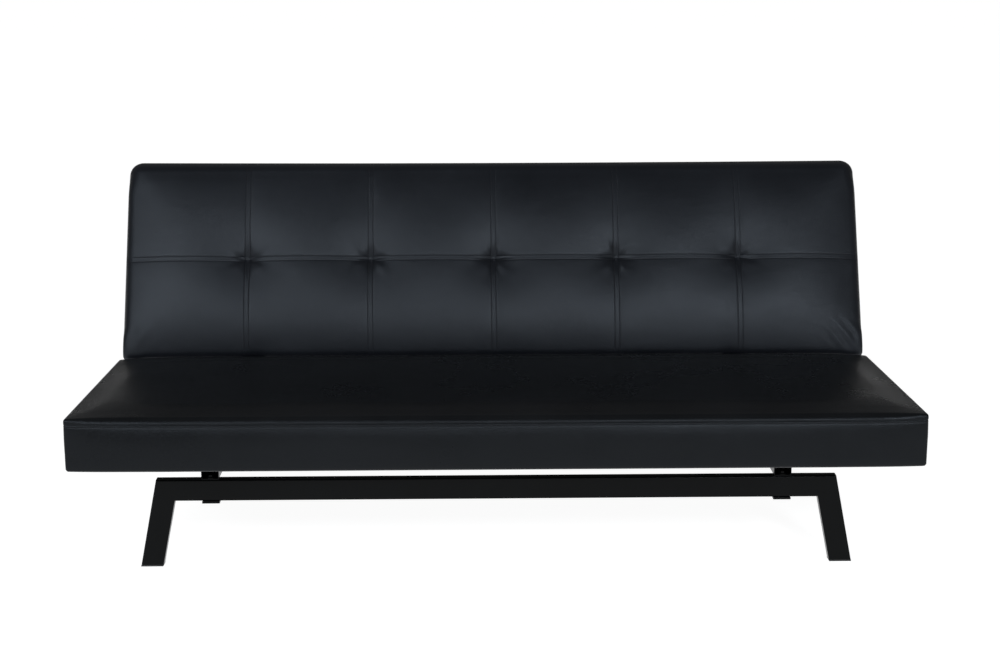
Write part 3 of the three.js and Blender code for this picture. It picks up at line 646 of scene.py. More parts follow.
def rounded_box(points, half, rounding, power=2.0):
    """The nearest point of a box shrunk by the radius, plus the radius towards the raw point, but square
    corners below: only points above the shrunk box are rounded in height. The root of the sum of powers
    measures the way: a power of two gives a round edge, a higher one an edge filled out to its corner."""
    inner = half - rounding[..., None]
    core = np.clip(points, -inner, inner)
    core[..., 2] = np.minimum(points[..., 2], inner[..., 2])
    gap = points - core
    power = np.asarray(power)[..., None]
    length = np.sum((np.abs(gap) * 1000) ** power, axis=-1, keepdims=True) ** (1 / power) / 1000
    return core + gap / np.maximum(length, 1e-9) * rounding[..., None]


def grid_lines(half, rounding, spacing, seams=(), beside=(0.0,)):
    """Positions across a pad: equal angles on its rounded edges, set distances beside each seam, and even
    steps of about the spacing between."""
    arc = rounding * np.tan(np.linspace(0, np.pi / 4, 7))
    flat = half - rounding
    near = np.unique(np.concatenate([-np.array(beside), np.array(beside)]))
    lines = [-flat - arc, flat + arc]
    stops = [-flat]
    for seam in seams:
        lines.append(seam + near)
        stops += [seam + near[0], seam + near[-1]]
    stops.append(flat)
    for start, end in zip(stops[::2], stops[1::2]):
        lines.append(np.linspace(start, end, int(np.ceil((end - start) / spacing)) + 1))
    return np.unique(np.round(np.concatenate(lines), 6))


def edge_heights(top, rounding):
    """Heights of a side's first rings, at equal angles down the rounded edge."""
    return top - rounding + rounding * np.tan(np.linspace(np.pi / 4, 0, 7)[1:])


def top_grid(xs, ys, z):
    """The raw points of a pad's top: every pair of positions, at one height."""
    return np.stack(np.meshgrid(xs, ys, [z], indexing="ij"), axis=-1)[:, :, 0]


def border_of(xs, ys):
    """The points round the edge of a grid in order, as numbers of the grid's points and as raw positions."""
    columns, rows = len(xs), len(ys)
    i = np.concatenate([np.arange(columns), np.full(rows - 1, columns - 1), np.arange(columns - 2, -1, -1),
                        np.zeros(rows - 2, int)])
    j = np.concatenate([np.zeros(columns, int), np.arange(1, rows), np.full(columns - 1, rows - 1),
                        np.arange(rows - 2, 0, -1)])
    return i * rows + j, np.stack([xs[i], ys[j]], axis=-1)


def level(edge, z):
    """The border's raw points, all at one height."""
    return np.column_stack([edge, np.full(len(edge), z)])


def pad_shell(name, top, border, rings):
    """A closed pad: a grid of points on top, rings of points down from its border, and one flat face that
    closes the last ring. Its faces are turned outwards by the sign of its volume."""
    around = len(border)
    count = top.size // 3
    ring = np.arange(around)
    skirt = np.stack([border, np.roll(border, -1), count + np.roll(ring, -1), count + ring], axis=-1)
    sides = quads(len(rings), around, columns_closed=True) + count
    faces = np.concatenate([quads(*top.shape[:2]), skirt, sides])[:, ::-1].tolist()
    faces.append((count + (len(rings) - 1) * around + ring).tolist())
    made = mesh_object(name, np.concatenate([top.reshape(-1, 3), *rings]), faces)
    work = bmesh.new()
    work.from_mesh(made.data)
    if work.calc_volume(signed=True) < 0:
        bmesh.ops.reverse_faces(work, faces=work.faces)
    work.to_mesh(made.data)
    work.free()
    return made


cushion_half_thick = 0.060
pivot_below_top = 0.018
cover_wall = 0.009
board_depth = 0.054
foam_top_depth = {"seat": 0.010, "back": 0.016}
rounding = {"seat": 0.013, "back": 0.036}
seat_half = np.array([0.948, 0.285, cushion_half_thick])
back_half = np.array([0.944, 0.260, cushion_half_thick])
half = {"seat": seat_half, "back": back_half}
middle = {"seat": np.array([0, -0.021 - seat_half[1], pivot_below_top - cushion_half_thick]),
          "back": np.array([0, 0.0140056 + back_half[1], pivot_below_top - cushion_half_thick])}


def in_place(points, body, lift=0):
    """Points about a cushion's middle, moved to its place off the pivot and turned about the pivot's axis."""
    turn = np.array(Matrix.Rotation(lean[body], 3, "X"))
    return (points + middle[body] + np.array([0, 0, lift])) @ turn.T + np.array(pivot)


def foam_slab(body):
    """A slab of foam: square at the bottom and rounded at its top edges, by the same rule as the covers."""
    wall = cover_wall + fit_gap
    size = np.array([half[body][0] - wall, half[body][1] - wall,
                     (board_depth - foam_top_depth[body] - 2 * fit_gap) / 2])
    radius = rounding[body] - wall
    lift = cushion_half_thick - foam_top_depth[body] - fit_gap - size[2]
    xs = grid_lines(size[0], radius, 0.06)
    ys = grid_lines(size[1], radius, 0.06)
    border, edge = border_of(xs, ys)

    def skin(raw):
        return in_place(rounded_box(raw, size, np.full(raw.shape[:-1], radius)), body, lift)

    heights = [*edge_heights(size[2], radius), *np.linspace(size[2] - radius, -size[2], 3)[1:]]
    foam = pad_shell(f"{body}_foam_slab", skin(top_grid(xs, ys, size[2])), border,
                     [skin(level(edge, z)) for z in heights])
    fitted(smoothed(foam, 40), body, "foam", cream_foam, f"{body}_foam")


foam_slab("seat")
foam_slab("back")


# Seat cover
# A top panel of black leather look, joined 14 mm below its edge to a boxing strip round the sides, sewn down
# beside the seam, quilted to wadding, pulled over the frame and stapled underneath.
def leather_finish(name, low, high, roughness, specular, crease_scale):
    """Leather look on cloth: a pebbled grain, fine creases that run on for a few centimetres, gloss that
    changes in slow patches, a little dust, and painted shade that darkens the colour in the grain's hollows."""
    material, tree, place, grain, tone = finish_nodes(name, 850, 0.5, 3.5, 0.05)
    colour = mixed(tree, spread(tree, tone["Tone"], 0, 1, *tone_range), low, high)
    # Painted shade: the colour is darkened in the grain's hollows.
    hollow_shaded = mixed(tree, spread(tree, grain["Hollows"], 0.0, 0.35), colour, (0.4, 0.4, 0.42), "MULTIPLY")
    creases = node(tree, "ShaderNodeTexNoise", {"Vector": place, "Scale": crease_scale, "Detail": 4.0,
                                                "Roughness": 0.55, "Distortion": 0.6})
    creased = bumped(tree, creases.outputs["Fac"], 0.0016, 0.5)
    return surfaced(material, {
        "Base Color": mixed(tree, tone["Dust"], hollow_shaded, (0.16, 0.16, 0.17)),
        "Roughness": spread(tree, tone["Tone"], roughness - 0.04, roughness + 0.05, *tone_range),
        "Normal": bumped(tree, grain["Height"], 0.00009, 0.7, creased),
        "Specular IOR Level": specular,
        "Specular Tint": (0.82, 0.9, 1, 1)})


seat_leather = leather_finish("seat_leather", (0.0027, 0.0031, 0.0036), (0.0041, 0.0047, 0.0055),
                              0.29, 0.17, 14.0)

cover_lip = 0.0025
lip_reach = 0.039
lip_edge = 0.0006
hem_rounding = 0.006
sharp_corner = 0.001


def fade(value, start, end):
    """Nought at the start and one at the end, with a smooth rise between."""
    t = np.clip((value - start) / (end - start), 0, 1)
    return t * t * (3 - 2 * t)


def hump(distance, reach):
    """One at no distance, falling off like a bell over the reach."""
    return np.exp(-(distance / reach) ** 2)


def from_edge(x, y, half):
    """How far in from a pad's nearest edge a point of its top lies."""
    return np.minimum(half[0] - np.abs(x), half[1] - np.abs(y))


def swelled(name, form, half, spacing, held, cap):
    """Cloth simulation of a padded cover. The form's outer skin is closed and put under pressure with its
    border, sides and sewn points held, and what each point of the top moves is capped and kept as a grid."""
    xs = np.linspace(-half[0], half[0], int(round(2 * half[0] / spacing)) + 1)
    ys = np.linspace(-half[1], half[1], int(round(2 * half[1] / spacing)) + 1)
    raw = top_grid(xs, ys, half[2])
    top = form(raw)
    border, edge = border_of(xs, ys)
    rings = [form(level(edge, z)) for z in np.linspace(half[2] * 0.5, -half[2], 4)]
    pad = pad_shell(name, top, border, rings)
    share = np.concatenate([held(raw[..., 0], raw[..., 1]).ravel(), np.ones(len(rings) * len(border))])
    group = pad.vertex_groups.new(name="held")
    for number, value in enumerate(share):
        group.add([number], float(value), "REPLACE")
    cloth = pad.modifiers.new("cloth", "CLOTH")
    cloth.settings.vertex_group_mass = "held"
    cloth.settings.quality = 6
    cloth.settings.mass = 0.4
    cloth.settings.tension_stiffness = 18
    cloth.settings.compression_stiffness = 18
    cloth.settings.shear_stiffness = 8
    cloth.settings.bending_stiffness = 0.8
    cloth.settings.use_pressure = True
    cloth.settings.uniform_pressure_force = 4
    cloth.settings.effector_weights.gravity = 0
    cloth.collision_settings.use_collision = False
    cloth.point_cache.frame_start = 1
    cloth.point_cache.frame_end = 20
    scene = bpy.context.scene
    for step in range(1, 21):
        scene.frame_set(step)
    settled = pad.evaluated_get(bpy.context.evaluated_depsgraph_get()).data
    points = np.zeros(len(settled.vertices) * 3)
    settled.vertices.foreach_get("co", points)
    moved = points.reshape(-1, 3)[:top.size // 3] - top.reshape(-1, 3)
    bpy.data.objects.remove(pad)
    scene.frame_set(1)
    return xs, ys, np.clip(moved[:, 2].reshape(top.shape[:2]), -cap, cap)


def cubic_weights(t):
    """Catmull-Rom weights of four neighbours for a share t of the way between the middle two."""
    return np.stack([((-t + 2) * t - 1) * t, (3 * t - 5) * t * t + 2, ((-3 * t + 4) * t + 1) * t,
                     (t - 1) * t * t], axis=-1) / 2


def sampled(field, x, y):
    """Smooth values of a regular grid at any points."""
    xs, ys, values = field
    fx = np.clip((x - xs[0]) / (xs[1] - xs[0]), 0, len(xs) - 1.001)
    fy = np.clip((y - ys[0]) / (ys[1] - ys[0]), 0, len(ys) - 1.001)
    ix, iy = fx.astype(int), fy.astype(int)
    wx, wy = cubic_weights(fx - ix), cubic_weights(fy - iy)
    total = np.zeros(np.shape(x))
    for a in range(4):
        for b in range(4):
            near = values[np.clip(ix + a - 1, 0, len(xs) - 1), np.clip(iy + b - 1, 0, len(ys) - 1)]
            total = total + wx[..., a] * wy[..., b] * near
    return total


def ring_at(edge, half, inset, z, corner):
    """One ring of a cover: its border points drawn in by the inset, its plan corners of the given radius."""
    size = half[:2] - inset
    raw = edge * size / half[:2]
    core = np.clip(raw, corner - size, size - corner)
    gap = raw - core
    length = np.linalg.norm(gap, axis=-1, keepdims=True)
    return level(core + gap / np.maximum(length, 1e-9) * corner, z)


def waves(x, y, seed, longest, height):
    """Gentle unevenness: a sum of eight sines of different directions, lengths and starts."""
    random = np.random.default_rng(seed)
    total = np.zeros(np.shape(x))
    for _ in range(8):
        heading = random.uniform(0, np.pi)
        length = longest * random.uniform(0.35, 1)
        along = (x * np.cos(heading) + y * np.sin(heading)) * 2 * np.pi / length
        total = total + np.sin(along + random.uniform(0, 2 * np.pi)) * length / longest
    return total * height / 3


def slack(raw, half, seed, longest, height, start):
    """Unevenness of a pad's sides: waves that run round them, from a depth below the top down to the hem."""
    along = np.where(np.abs(raw[..., 0]) > half[0] - tiny, raw[..., 1], raw[..., 0])
    z = raw[..., 2]
    inside = fade(half[2] - z, start, 0.05) * fade(z + half[2], 0.004, 0.03)
    return waves(along, z * 2, seed, longest, height) * inside


def cover(body, xs, ys, form, heights, pulled, material):
    """A whole cover. Its outer rings go round the edge and down the side, round the hem and in to the mouth,
    and then back up inside, where one flat face closes it above the foam."""
    size = half[body]
    border, edge = border_of(xs, ys)
    rings = [form(level(edge, z)) for z in [*edge_heights(size[2], rounding[body]), *heights]]
    floor_z = -size[2]
    for angle in np.linspace(0, np.pi / 2, 5)[1:]:
        inset = hem_rounding * (1 - np.cos(angle))
        z = floor_z + hem_rounding * (1 - np.sin(angle))
        ring = ring_at(edge, size, inset, z, max(hem_rounding - inset, sharp_corner))
        rings.append(pulled(ring, level(edge, z)))
    ceiling = size[2] - foam_top_depth[body]
    inner = rounding[body] - cover_wall
    lip_z = floor_z + cover_lip
    near_lip = lip_reach - lip_edge
    inside = [(0.014, floor_z), (0.027, floor_z), (near_lip, floor_z), (lip_reach, floor_z + lip_edge),
              (lip_reach, lip_z - lip_edge), (near_lip, lip_z), (0.024, lip_z), (cover_wall, lip_z),
              (cover_wall, 0.0)]
    rings += [ring_at(edge, size, inset, z, sharp_corner) for inset, z in inside]
    for angle in np.linspace(0, np.pi / 2, 7):
        rings.append(ring_at(edge, size, cover_wall + inner * (1 - np.cos(angle)),
                             ceiling - inner * (1 - np.sin(angle)), max(inner * np.cos(angle), sharp_corner)))
    made = pad_shell(f"{body}_cover_leather", in_place(form(top_grid(xs, ys, size[2])), body), border,
                     [in_place(ring, body) for ring in rings])
    fitted(smoothed(made, 60), body, f"{body}_leather", material, f"{body}_cover")


def copies(faces, size, count):
    """The faces of a form with so many points, for each of its copies in a row."""
    starts = np.arange(0, size * count, size)[:, None, None]
    return (starts + np.asarray(faces)).reshape(-1, len(faces[0])).tolist()


def pad_form(half, rounding, fullness, pulled, rise, groove):
    """The map from raw points of a box to a pad's skin: rounded, pulled in between its corners, raised on top
    and drawn in along its side seams. The radius of its plan corners is the pad's own down to where the top
    edge ends, then less and less. raw holds x, y and z, with z at the top plane for the top."""
    def form(raw):
        lower = fade(half[2] - rounding - raw[..., 2], 0, 2 * half[2] - rounding - hem_rounding)
        radius = rounding + (hem_rounding - rounding) * lower
        points = rounded_box(raw, half, radius, fullness(raw))
        inner = half[:2] - radius[..., None]
        out = points[..., :2] - np.clip(points[..., :2], -inner, inner)
        out = out / np.maximum(np.linalg.norm(out, axis=-1, keepdims=True), 1e-9)
        points[..., :2] -= out * groove(raw)[..., None]
        points = pulled(points, raw)
        points[..., 2] += np.where(raw[..., 2] > half[2] - tiny, rise(raw[..., 0], raw[..., 1]), 0)
        return points
    return form


seat_seam_z = seat_half[2] - 0.014
seat_stitch_z = seat_half[2] - 0.0185
front_swell = 0.018
crown_height = 0.0055
roll_height = 0.0060


def seat_pulled(points, raw):
    """The front's padding leans out from the upper edge down and then turns to the hem: by the power 4.6 of
    the height above the hem, and by a square over its lowest fifth."""
    at_front = fade(-points[..., 1], seat_half[1] - 0.03, seat_half[1] - 0.004)
    ends = 1 - np.abs(raw[..., 0] / seat_half[0]) ** 16
    height = np.clip((raw[..., 2] / seat_half[2] + 1) / 2, 0, 1)
    out = 0.55 - height ** 4.6 - 0.25 * np.clip(1 - height / 0.2, 0, 1) ** 2
    points[..., 1] -= front_swell * at_front * ends * out
    return points


def seat_fullness(raw):
    """A tight edge along the front, and filled out to the corner along the ends and the rear."""
    at_end = fade(np.abs(raw[..., 0]), seat_half[0] - 0.060, seat_half[0] - rounding["seat"])
    at_rear = fade(raw[..., 1], 0, seat_half[1] - rounding["seat"])
    return 3.2 + 1.8 * np.maximum(at_end, at_rear)


def seat_groove(raw):
    """The sunk seam round the sides, the row of stitches below it, and slight slackness of the strip."""
    z = raw[..., 2]
    sunk = 0.0010 * hump(z - seat_seam_z, 0.0011) + 0.0005 * hump(z - seat_stitch_z, 0.0010)
    return sunk + slack(raw, seat_half, 5, 0.5, 0.0011, 0.014)


def seat_start_rise(x, y):
    """A low even crown: one less high powers of the place across and along, higher ones towards the rear,
    where the back pushes the padding up into a slight roll."""
    u, v = x / seat_half[0], y / seat_half[1]
    roll = roll_height * fade(y, seat_half[1] - 0.080, seat_half[1] - 0.025)
    return (1 - np.abs(u) ** 12) * (crown_height * (1 - np.where(v < 0, v ** 8, v ** 10)) + roll)


def seat_held(x, y):
    """Held along the edges, and free further in."""
    return 1 - fade(from_edge(x, y, seat_half), 0.012, 0.06)


def no_groove(raw):
    """Sides as they are, for the simulation."""
    return np.zeros(raw.shape[:-1])


seat_start = pad_form(seat_half, rounding["seat"], seat_fullness, seat_pulled, seat_start_rise, no_groove)
seat_swell = swelled("seat_swell", seat_start, seat_half, 0.018, seat_held, 0.006)


def seat_rise(x, y):
    """The crown, what the simulation adds, and gentle waves away from the edges."""
    calm = fade(from_edge(x, y, seat_half), 0.0, 0.06)
    return seat_start_rise(x, y) + sampled(seat_swell, x, y) + waves(x, y, 11, 0.42, 0.0008) * calm


seat_form = pad_form(seat_half, rounding["seat"], seat_fullness, seat_pulled, seat_rise, seat_groove)
seam_rows = np.array([0.0035, 0.0024, 0.0016, 0.001, 0.0005])
seat_heights = np.unique(np.concatenate([
    seat_seam_z - seam_rows, [seat_seam_z], seat_seam_z + seam_rows[3:],
    seat_stitch_z - seam_rows[2:], [seat_stitch_z], seat_stitch_z + seam_rows[3:],
    np.linspace(seat_half[2] - 0.024, -seat_half[2] + hem_rounding, 10)]))[::-1]
seat_heights = seat_heights[seat_heights < seat_half[2] - rounding["seat"] - 0.0002]
seat_xs = grid_lines(seat_half[0], rounding["seat"], 0.010)
seat_ys = grid_lines(seat_half[1], rounding["seat"], 0.009)
cover("seat", seat_xs, seat_ys, seat_form, seat_heights, seat_pulled, seat_leather)


# Seat thread
# Bonded polyester, black, four stitches to 20 mm, in one row round the boxing strip below the seam.
black_thread, tree, place, grain, tone = finish_nodes("black_thread", 1500, 0.5, 30.0, 0.1)
surfaced(black_thread, {
    "Base Color": mixed(tree, tone["Tone"], (0.006, 0.006, 0.008), (0.014, 0.014, 0.018)),
    "Roughness": spread(tree, tone["Tone"], 0.5, 0.7),
    "Normal": bumped(tree, grain["Height"], 0.00012, 0.8)})
thread_thick = 0.0007
stitch_pitch = 0.005
feeler = 0.0005


def stitching(body, runs, form):
    """Thread along sewn lines. Each stitch is a rod whose middle stands out of the leather and whose ends dip
    in: its height follows one less the square of the place along it, and its thickness the root of that."""
    stations = np.linspace(-1, 1, 5)
    angle = np.linspace(0, 2 * np.pi, 6, endpoint=False)[:, None]
    rods = []
    for start, end, across in np.array(runs, float):
        span = np.linalg.norm(end - start)
        along = (end - start) / span
        middles = np.arange(stitch_pitch / 2, span, stitch_pitch)
        raw = start + (middles[:, None, None] + stations[:, None] * stitch_pitch * 0.4) * along
        on = form(raw)
        ahead = form(raw + along * feeler) - on
        aside = form(raw + across * feeler) - on
        ahead /= np.linalg.norm(ahead, axis=-1, keepdims=True)
        aside /= np.linalg.norm(aside, axis=-1, keepdims=True)
        up = np.cross(ahead, aside)
        up /= np.linalg.norm(up, axis=-1, keepdims=True)
        up *= np.sign(up[..., 2:] + up[..., :1] * on[..., :1] * 9 + up[..., 1:2] * on[..., 1:2] * 9 + tiny)
        centre = on + up * (thread_thick * (0.5 - stations ** 2))[:, None]
        wide = thread_thick / 2 * np.sqrt(1.02 - stations ** 2)[:, None, None]
        rods.append(centre[..., None, :] + wide * (np.cos(angle) * aside[..., None, :]
                                                   + np.sin(angle) * up[..., None, :]))
    rods = np.concatenate(rods)
    size = len(stations) * len(angle)
    cap = np.arange(len(angle))
    faces = copies(quads(len(stations), len(angle), columns_closed=True), size, len(rods))
    faces += copies([cap[::-1], cap + size - len(angle)], size, len(rods))
    thread = mended(mesh_object(f"{body}_stitches", in_place(rods.reshape(-1, 3), body), faces))
    fitted(smoothed(thread, 50), body, f"{body}_leather", black_thread)


corner_x, corner_y = seat_half[:2]
clear_x, clear_y = seat_half[:2] - rounding["seat"]
z = seat_stitch_z
upwards = (0, 0, 1)
stitching("seat", [((-clear_x, -corner_y, z), (clear_x, -corner_y, z), upwards),
                   ((-clear_x, corner_y, z), (clear_x, corner_y, z), upwards),
                   ((-corner_x, -clear_y, z), (-corner_x, clear_y, z), upwards),
                   ((corner_x, -clear_y, z), (corner_x, clear_y, z), upwards)], seat_form)


# Back frame and padding
# Four pine rails, glued and stapled, carry a plywood panel and a slab of cut foam. The slab is 6 mm thinner
# than the seat's, as the cover above it is quilted more deeply.
finished(pine_along_x, "back_bottom_rail", "back_top_rail")
finished(pine_along_y, "back_end_rail_left", "back_end_rail_right")
finished(plywood, "back_board")


# Back cover
# Six panels by two of black leather look, sewn with twin needle rows over every join, rolled
# over the edges and drawn down by five blind tufts where the seams cross. Its base colour is set lighter and
# bluer than the seat leather's: painted sheen and light.
# Painted sheen and light: base colours lighter and bluer than the seat leather's.
back_leather = leather_finish("back_leather", (0.0044, 0.0053, 0.0076), (0.0060, 0.0072, 0.0102),
                              0.34, 0.28, 11.0)

panel_columns = 6
column_seams = np.linspace(-back_half[0], back_half[0], panel_columns + 1)[1:-1]
row_seam = -0.007
row_half = 0.0058
valley_depth = 0.0011
valley_reach = 0.013
tuft_depth = 0.0150
tuft_reach = 0.023
turn_under_height = 0.110
turn_under_depth = 0.020
turn_over_height = 0.060
turn_over_depth = 0.009
top_draw = 0.004
low_swell = 0.006
arm_middle = 0.604
needle_offsets = (0.0, 0.0022, 0.0040, 0.0048, 0.0053, 0.0058, 0.0063, 0.0068, 0.0078, 0.0105, 0.0150)


def turned_back(inset, height, depth):
    """A quarter of an ellipse near an edge: the depth times one less the root of one less a share of the
    place's square."""
    place = np.clip(1 - inset / height, 0, 1)
    return depth * (1 - np.sqrt(1 - 0.96 * place ** 2))


def back_pulled(points, raw):
    """The top is drawn in between its corners by one less the square of the place along it, most at half
    depth. The front turns back towards the seat and towards the top, less so further back. The padding then
    swells out below, but not over the arms: a bell over the depth, less one across each arm."""
    share = raw / back_half
    at_top = fade(points[..., 1], back_half[1] - 0.03, back_half[1] - 0.004)
    points[..., 1] -= top_draw * (1 - share[..., 0] ** 2) * (2 - share[..., 2] ** 2) / 2 * at_top
    turned_in = (turned_back(points[..., 1] + back_half[1], turn_under_height, turn_under_depth)
                 + turned_back(back_half[1] - points[..., 1], turn_over_height, turn_over_depth))
    points[..., 2] -= turned_in * fade(points[..., 2], 0, back_half[2])
    at_low = fade(-points[..., 1], back_half[1] - 0.060, back_half[1] - 0.012)
    at_arm = hump(np.abs(points[..., 0]) - arm_middle, 0.03)
    at_front = hump(points[..., 2] - back_half[2] + 0.012, 0.012)
    points[..., 1] -= low_swell * at_low * (1 - 0.75 * at_arm) * at_front
    return points


def back_fullness(raw):
    """Round along the top, filled out to the corner along the ends, and still more at the lower corners."""
    at_low = fade(-raw[..., 1], back_half[1] - 0.080, back_half[1] - 0.020)
    at_end = fade(np.abs(raw[..., 0]), back_half[0] - 0.060, back_half[0] - rounding["back"])
    at_top = fade(raw[..., 1], back_half[1] - 0.100, back_half[1] - rounding["back"])
    return 3.6 - 1.6 * at_top + 1.4 * at_low + 5 * at_low * at_end


def back_sunk(x, y):
    """How far sewing holds the skin down: a narrow valley along each seam, and at each tuft a pit whose plan
    is a star with four points along the seams."""
    across = y - row_seam
    depth = valley_depth * hump(across, valley_reach)
    for seam in column_seams:
        along = x - seam
        star = 1 + 0.20 * np.cos(4 * np.arctan2(across, along))
        pit = tuft_depth * np.exp(-(np.hypot(along, across) / (tuft_reach * star)) ** 1.5)
        depth = np.maximum(depth, valley_depth * hump(along, valley_reach)) + pit
    return depth


def needle_rows(x, y):
    """The twin rows of stitches on every seam, each a fine groove, shallower towards the top and on the
    middle row."""
    rows = 0.5 * hump(np.abs(y - row_seam) - row_half, 0.0008)
    low = 1 - 0.6 * fade(y, row_seam + 0.03, back_half[1] - 0.03)
    for seam in column_seams:
        rows = np.maximum(rows, low * hump(np.abs(x - seam) - row_half, 0.0008))
    return 0.0009 * rows


def tuft_folds(x, y):
    """Folds round each tuft: ten unequal spokes that rise and fall between two distances from it."""
    total = np.zeros(np.shape(x))
    for number, seam in enumerate(column_seams):
        heading = np.arctan2(y - row_seam, x - seam)
        spokes = np.cos(10 * heading + 1.3 * number) + 0.6 * np.cos(6 * heading - 2.1 * number)
        total = total + spokes * hump(np.hypot(x - seam, y - row_seam) - 0.030, 0.016)
    return 0.0005 * total


def corner_puckers(x, y):
    """Slack leather above the bottom edge at both ends, more on the right: short slanting folds, each a
    cosine across a window of two bells."""
    right, left = x - back_half[0] + 0.045, x + back_half[0] - 0.05
    up = y + back_half[1] - 0.052
    right_folds = np.cos((right * 0.75 + up * 0.66) * 2 * np.pi / 0.026) * hump(right, 0.05) * hump(up, 0.03)
    left_folds = np.cos((left * 0.8 - up * 0.6) * 2 * np.pi / 0.034) * hump(left, 0.04) * hump(up, 0.026)
    return 0.0016 * right_folds + 0.0006 * left_folds


def back_start_rise(x, y):
    """The whole pad's crown, fuller over the lower row of panels, with the tufts already drawn down."""
    u, v = x / back_half[0], y / back_half[1]
    low = np.clip(-v, 0, 1)
    crown = 0.0115 * (1 - np.abs(v) ** 3) + 0.020 * low * (1 - low)
    return crown * (1 - np.abs(u) ** 12) - back_sunk(x, y)


def back_held(x, y):
    """Held along the edges and at the tufts, and a third held along the seams."""
    held = 1 - fade(from_edge(x, y, back_half), 0.012, 0.05)
    for seam in column_seams:
        held = np.maximum(held, 1 - fade(np.hypot(x - seam, y - row_seam), 0.010, 0.026))
        held = np.maximum(held, 0.35 * hump(x - seam, 0.012))
    return np.maximum(held, 0.35 * hump(y - row_seam, 0.012))


back_start = pad_form(back_half, rounding["back"], back_fullness, back_pulled, back_start_rise, no_groove)
back_swell = swelled("back_swell", back_start, back_half, 0.013, back_held, 0.008)


def back_rise(x, y):
    """The crown, what the simulation adds, folds and waves away from the edges, and the rows of stitches."""
    inner = from_edge(x, y, back_half)
    uneven = (tuft_folds(x, y) + waves(x, y, 23, 0.36, 0.0006)) * fade(inner, 0.0, 0.05)
    return (back_start_rise(x, y) + sampled(back_swell, x, y) + uneven
            + corner_puckers(x, y) * fade(inner, 0.0, 0.02) - needle_rows(x, y) * fade(inner, 0.012, 0.024))


def back_groove(raw):
    """Slight slackness of the sides."""
    return slack(raw, back_half, 8, 0.45, 0.0010, 0.02)


back_form = pad_form(back_half, rounding["back"], back_fullness, back_pulled, back_rise, back_groove)
cover("back", grid_lines(back_half[0], rounding["back"], 0.0075, column_seams, needle_offsets),
      grid_lines(back_half[1], rounding["back"], 0.0075, (row_seam,), needle_offsets), back_form,
      np.linspace(back_half[2] - rounding["back"], -back_half[2] + hem_rounding, 10)[1:], back_pulled,
      back_leather)


# Back thread
# The same thread, in two rows 11.6 mm apart along every seam.
run_end = back_half[0] - 0.030
run_low = -back_half[1] + 0.026
run_high = back_half[1] - 0.026
tuft_clear = 0.010
z = back_half[2]
back_runs = []
for offset in (-row_half, row_half):
    y = row_seam + offset
    starts = [-run_end, *(column_seams + tuft_clear)]
    ends = [*(column_seams - tuft_clear), run_end]
    back_runs += [((start, y, z), (end, y, z), (0, 1, 0)) for start, end in zip(starts, ends)]
    for x in column_seams + offset:
        back_runs += [((x, run_low, z), (x, row_seam - tuft_clear, z), (1, 0, 0)),
                      ((x, row_seam + tuft_clear, z), (x, run_high, z), (1, 0, 0))]
stitching("back", back_runs, back_form)


# Closing cloths
# Black spun-bonded cloth closes the seat underneath and the back behind. Its edge lies over the cover's lip
# and is stapled through it into the timber.
spun_cloth, tree, place, grain, tone = finish_nodes("spun_bonded_cloth", 420, 0.9, 12.0, 0.35)
dimples = node(tree, "ShaderNodeTexVoronoi", {"Vector": place, "Scale": 600.0, "Randomness": 0.15},
               feature="F1")
cloth_black = mixed(tree, tone["Tone"], (0.006, 0.006, 0.006), (0.013, 0.013, 0.013))
surfaced(spun_cloth, {
    "Base Color": mixed(tree, tone["Dust"], cloth_black, (0.14, 0.13, 0.12)),
    "Roughness": spread(tree, tone["Tone"], 0.82, 0.95),
    "Normal": bumped(tree, dimples.outputs["Distance"], 0.0003, 0.8)})
cloth_edge = 0.022
cloth_half_thick = 0.0003
cloth_gap = 0.0002
staple_length = 0.011
staple_wire = 0.0006
staple_step = 0.055
staple_inset = cloth_edge + 0.005


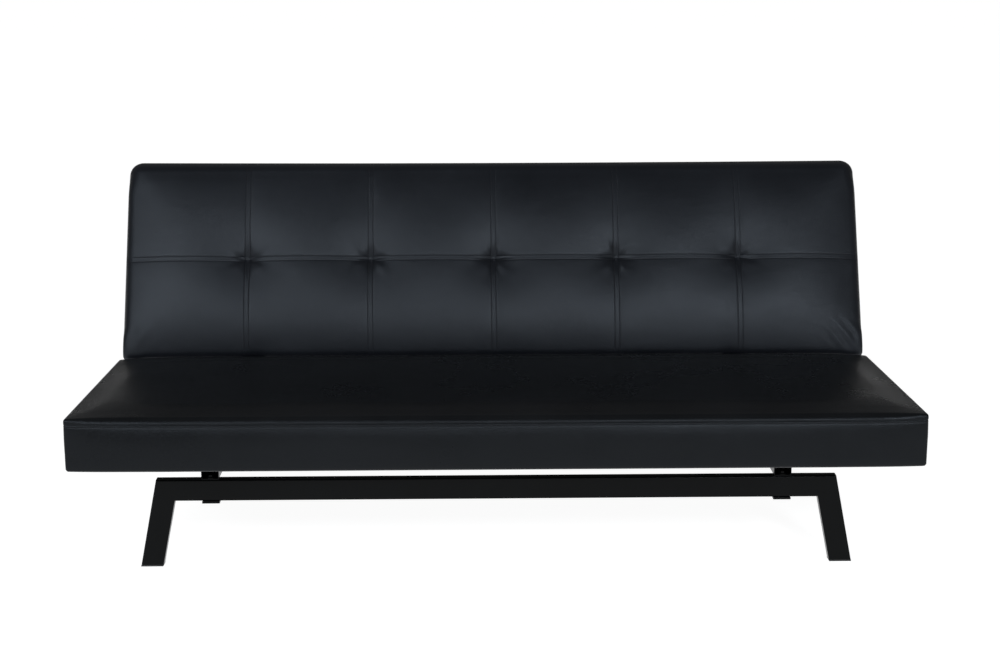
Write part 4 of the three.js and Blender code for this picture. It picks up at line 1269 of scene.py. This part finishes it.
def closing_cloth(body, node_name):
    """A sheet under the frame: flat over the lip at its edge, a step up into the mouth, a little uneven."""
    size = half[body][:2] - cloth_edge
    near = np.linspace(0, 0.03, 9)
    xs, ys = [np.unique(np.concatenate([np.linspace(-reach, reach, steps), near - reach, reach - near]))
              for reach, steps in zip(size, (80, 30))]
    x, y = np.meshgrid(xs, ys, indexing="ij")
    inset = from_edge(x, y, half[body])
    outside = -half[body][2] - cloth_half_thick - cloth_gap
    inside = -half[body][2] + 0.0010
    z = outside + (inside - outside) * fade(inset, lip_reach + 0.001, lip_reach + 0.006)
    z = z + waves(x, y, 31, 0.3, 0.0004) * fade(inset, lip_reach + 0.006, lip_reach + 0.05)
    points = in_place(np.stack([x, y, z], axis=-1).reshape(-1, 3), body)
    cloth = smoothed(mesh_object(f"{node_name}_sheet", points, quads(len(xs), len(ys)).tolist()), 50)
    thick = cloth.modifiers.new("thickness", "SOLIDIFY")
    thick.thickness = 2 * cloth_half_thick
    thick.offset = 0
    fitted(cloth, body, "black_cloth", spun_cloth, node_name)


def staples(body):
    """Staples round the cloth's edge: a flat wire whose crown stands clear and whose ends bend down into the
    timber. Each is a row of cross sections along its own heading, which tilts a little from the edge's."""
    size = half[body][:2] - staple_inset
    middles, headings = [], []
    for side in (-1, 1):
        for along in (0, 1):
            steps = np.arange(-size[along] + staple_step, size[along] - staple_step / 2, staple_step)
            row = np.full((len(steps), 2), side * size[1 - along])
            row[:, along] = steps
            middles.append(row)
            headings.append(np.tile(np.eye(2)[along], (len(steps), 1)))
    middles, headings = np.concatenate(middles), np.concatenate(headings)
    tilt = np.random.default_rng(3).uniform(-0.12, 0.12, len(middles))[:, None]
    headings = headings * np.cos(tilt) + headings[:, ::-1] * (-1, 1) * np.sin(tilt)
    sideways = headings[:, ::-1] * (-1, 1)
    stations = np.array([-1, -0.97, -0.88, 0.88, 0.97, 1.0])
    depth = np.array([-0.0012, 0.0002, 0.0007, 0.0007, 0.0002, -0.0012])
    cross = np.array([[-1, -0.5], [1, -0.5], [1, 0.5], [-1, 0.5]]) * staple_wire
    plan = (middles[:, None, None] + headings[:, None, None] * stations[:, None, None] * staple_length / 2
            + sideways[:, None, None] * cross[None, :, :1])
    rise = np.broadcast_to(depth[:, None] + cross[None, :, 1], plan.shape[:-1])
    z = -half[body][2] - 2 * cloth_half_thick - cloth_gap - rise
    points = in_place(np.concatenate([plan, z[..., None]], axis=-1).reshape(-1, 3), body)
    one = [*quads(len(stations), 4, columns_closed=True), [0, 1, 2, 3], [23, 22, 21, 20]]
    made = mended(mesh_object(f"{body}_staples", points, copies(one, len(stations) * 4, len(middles))))
    fitted(smoothed(made, 40), body, "zinc_steel", zinc_plate)


closing_cloth("seat", "seat_dust_cover")
closing_cloth("back", "back_lining")
staples("seat")
staples("back")
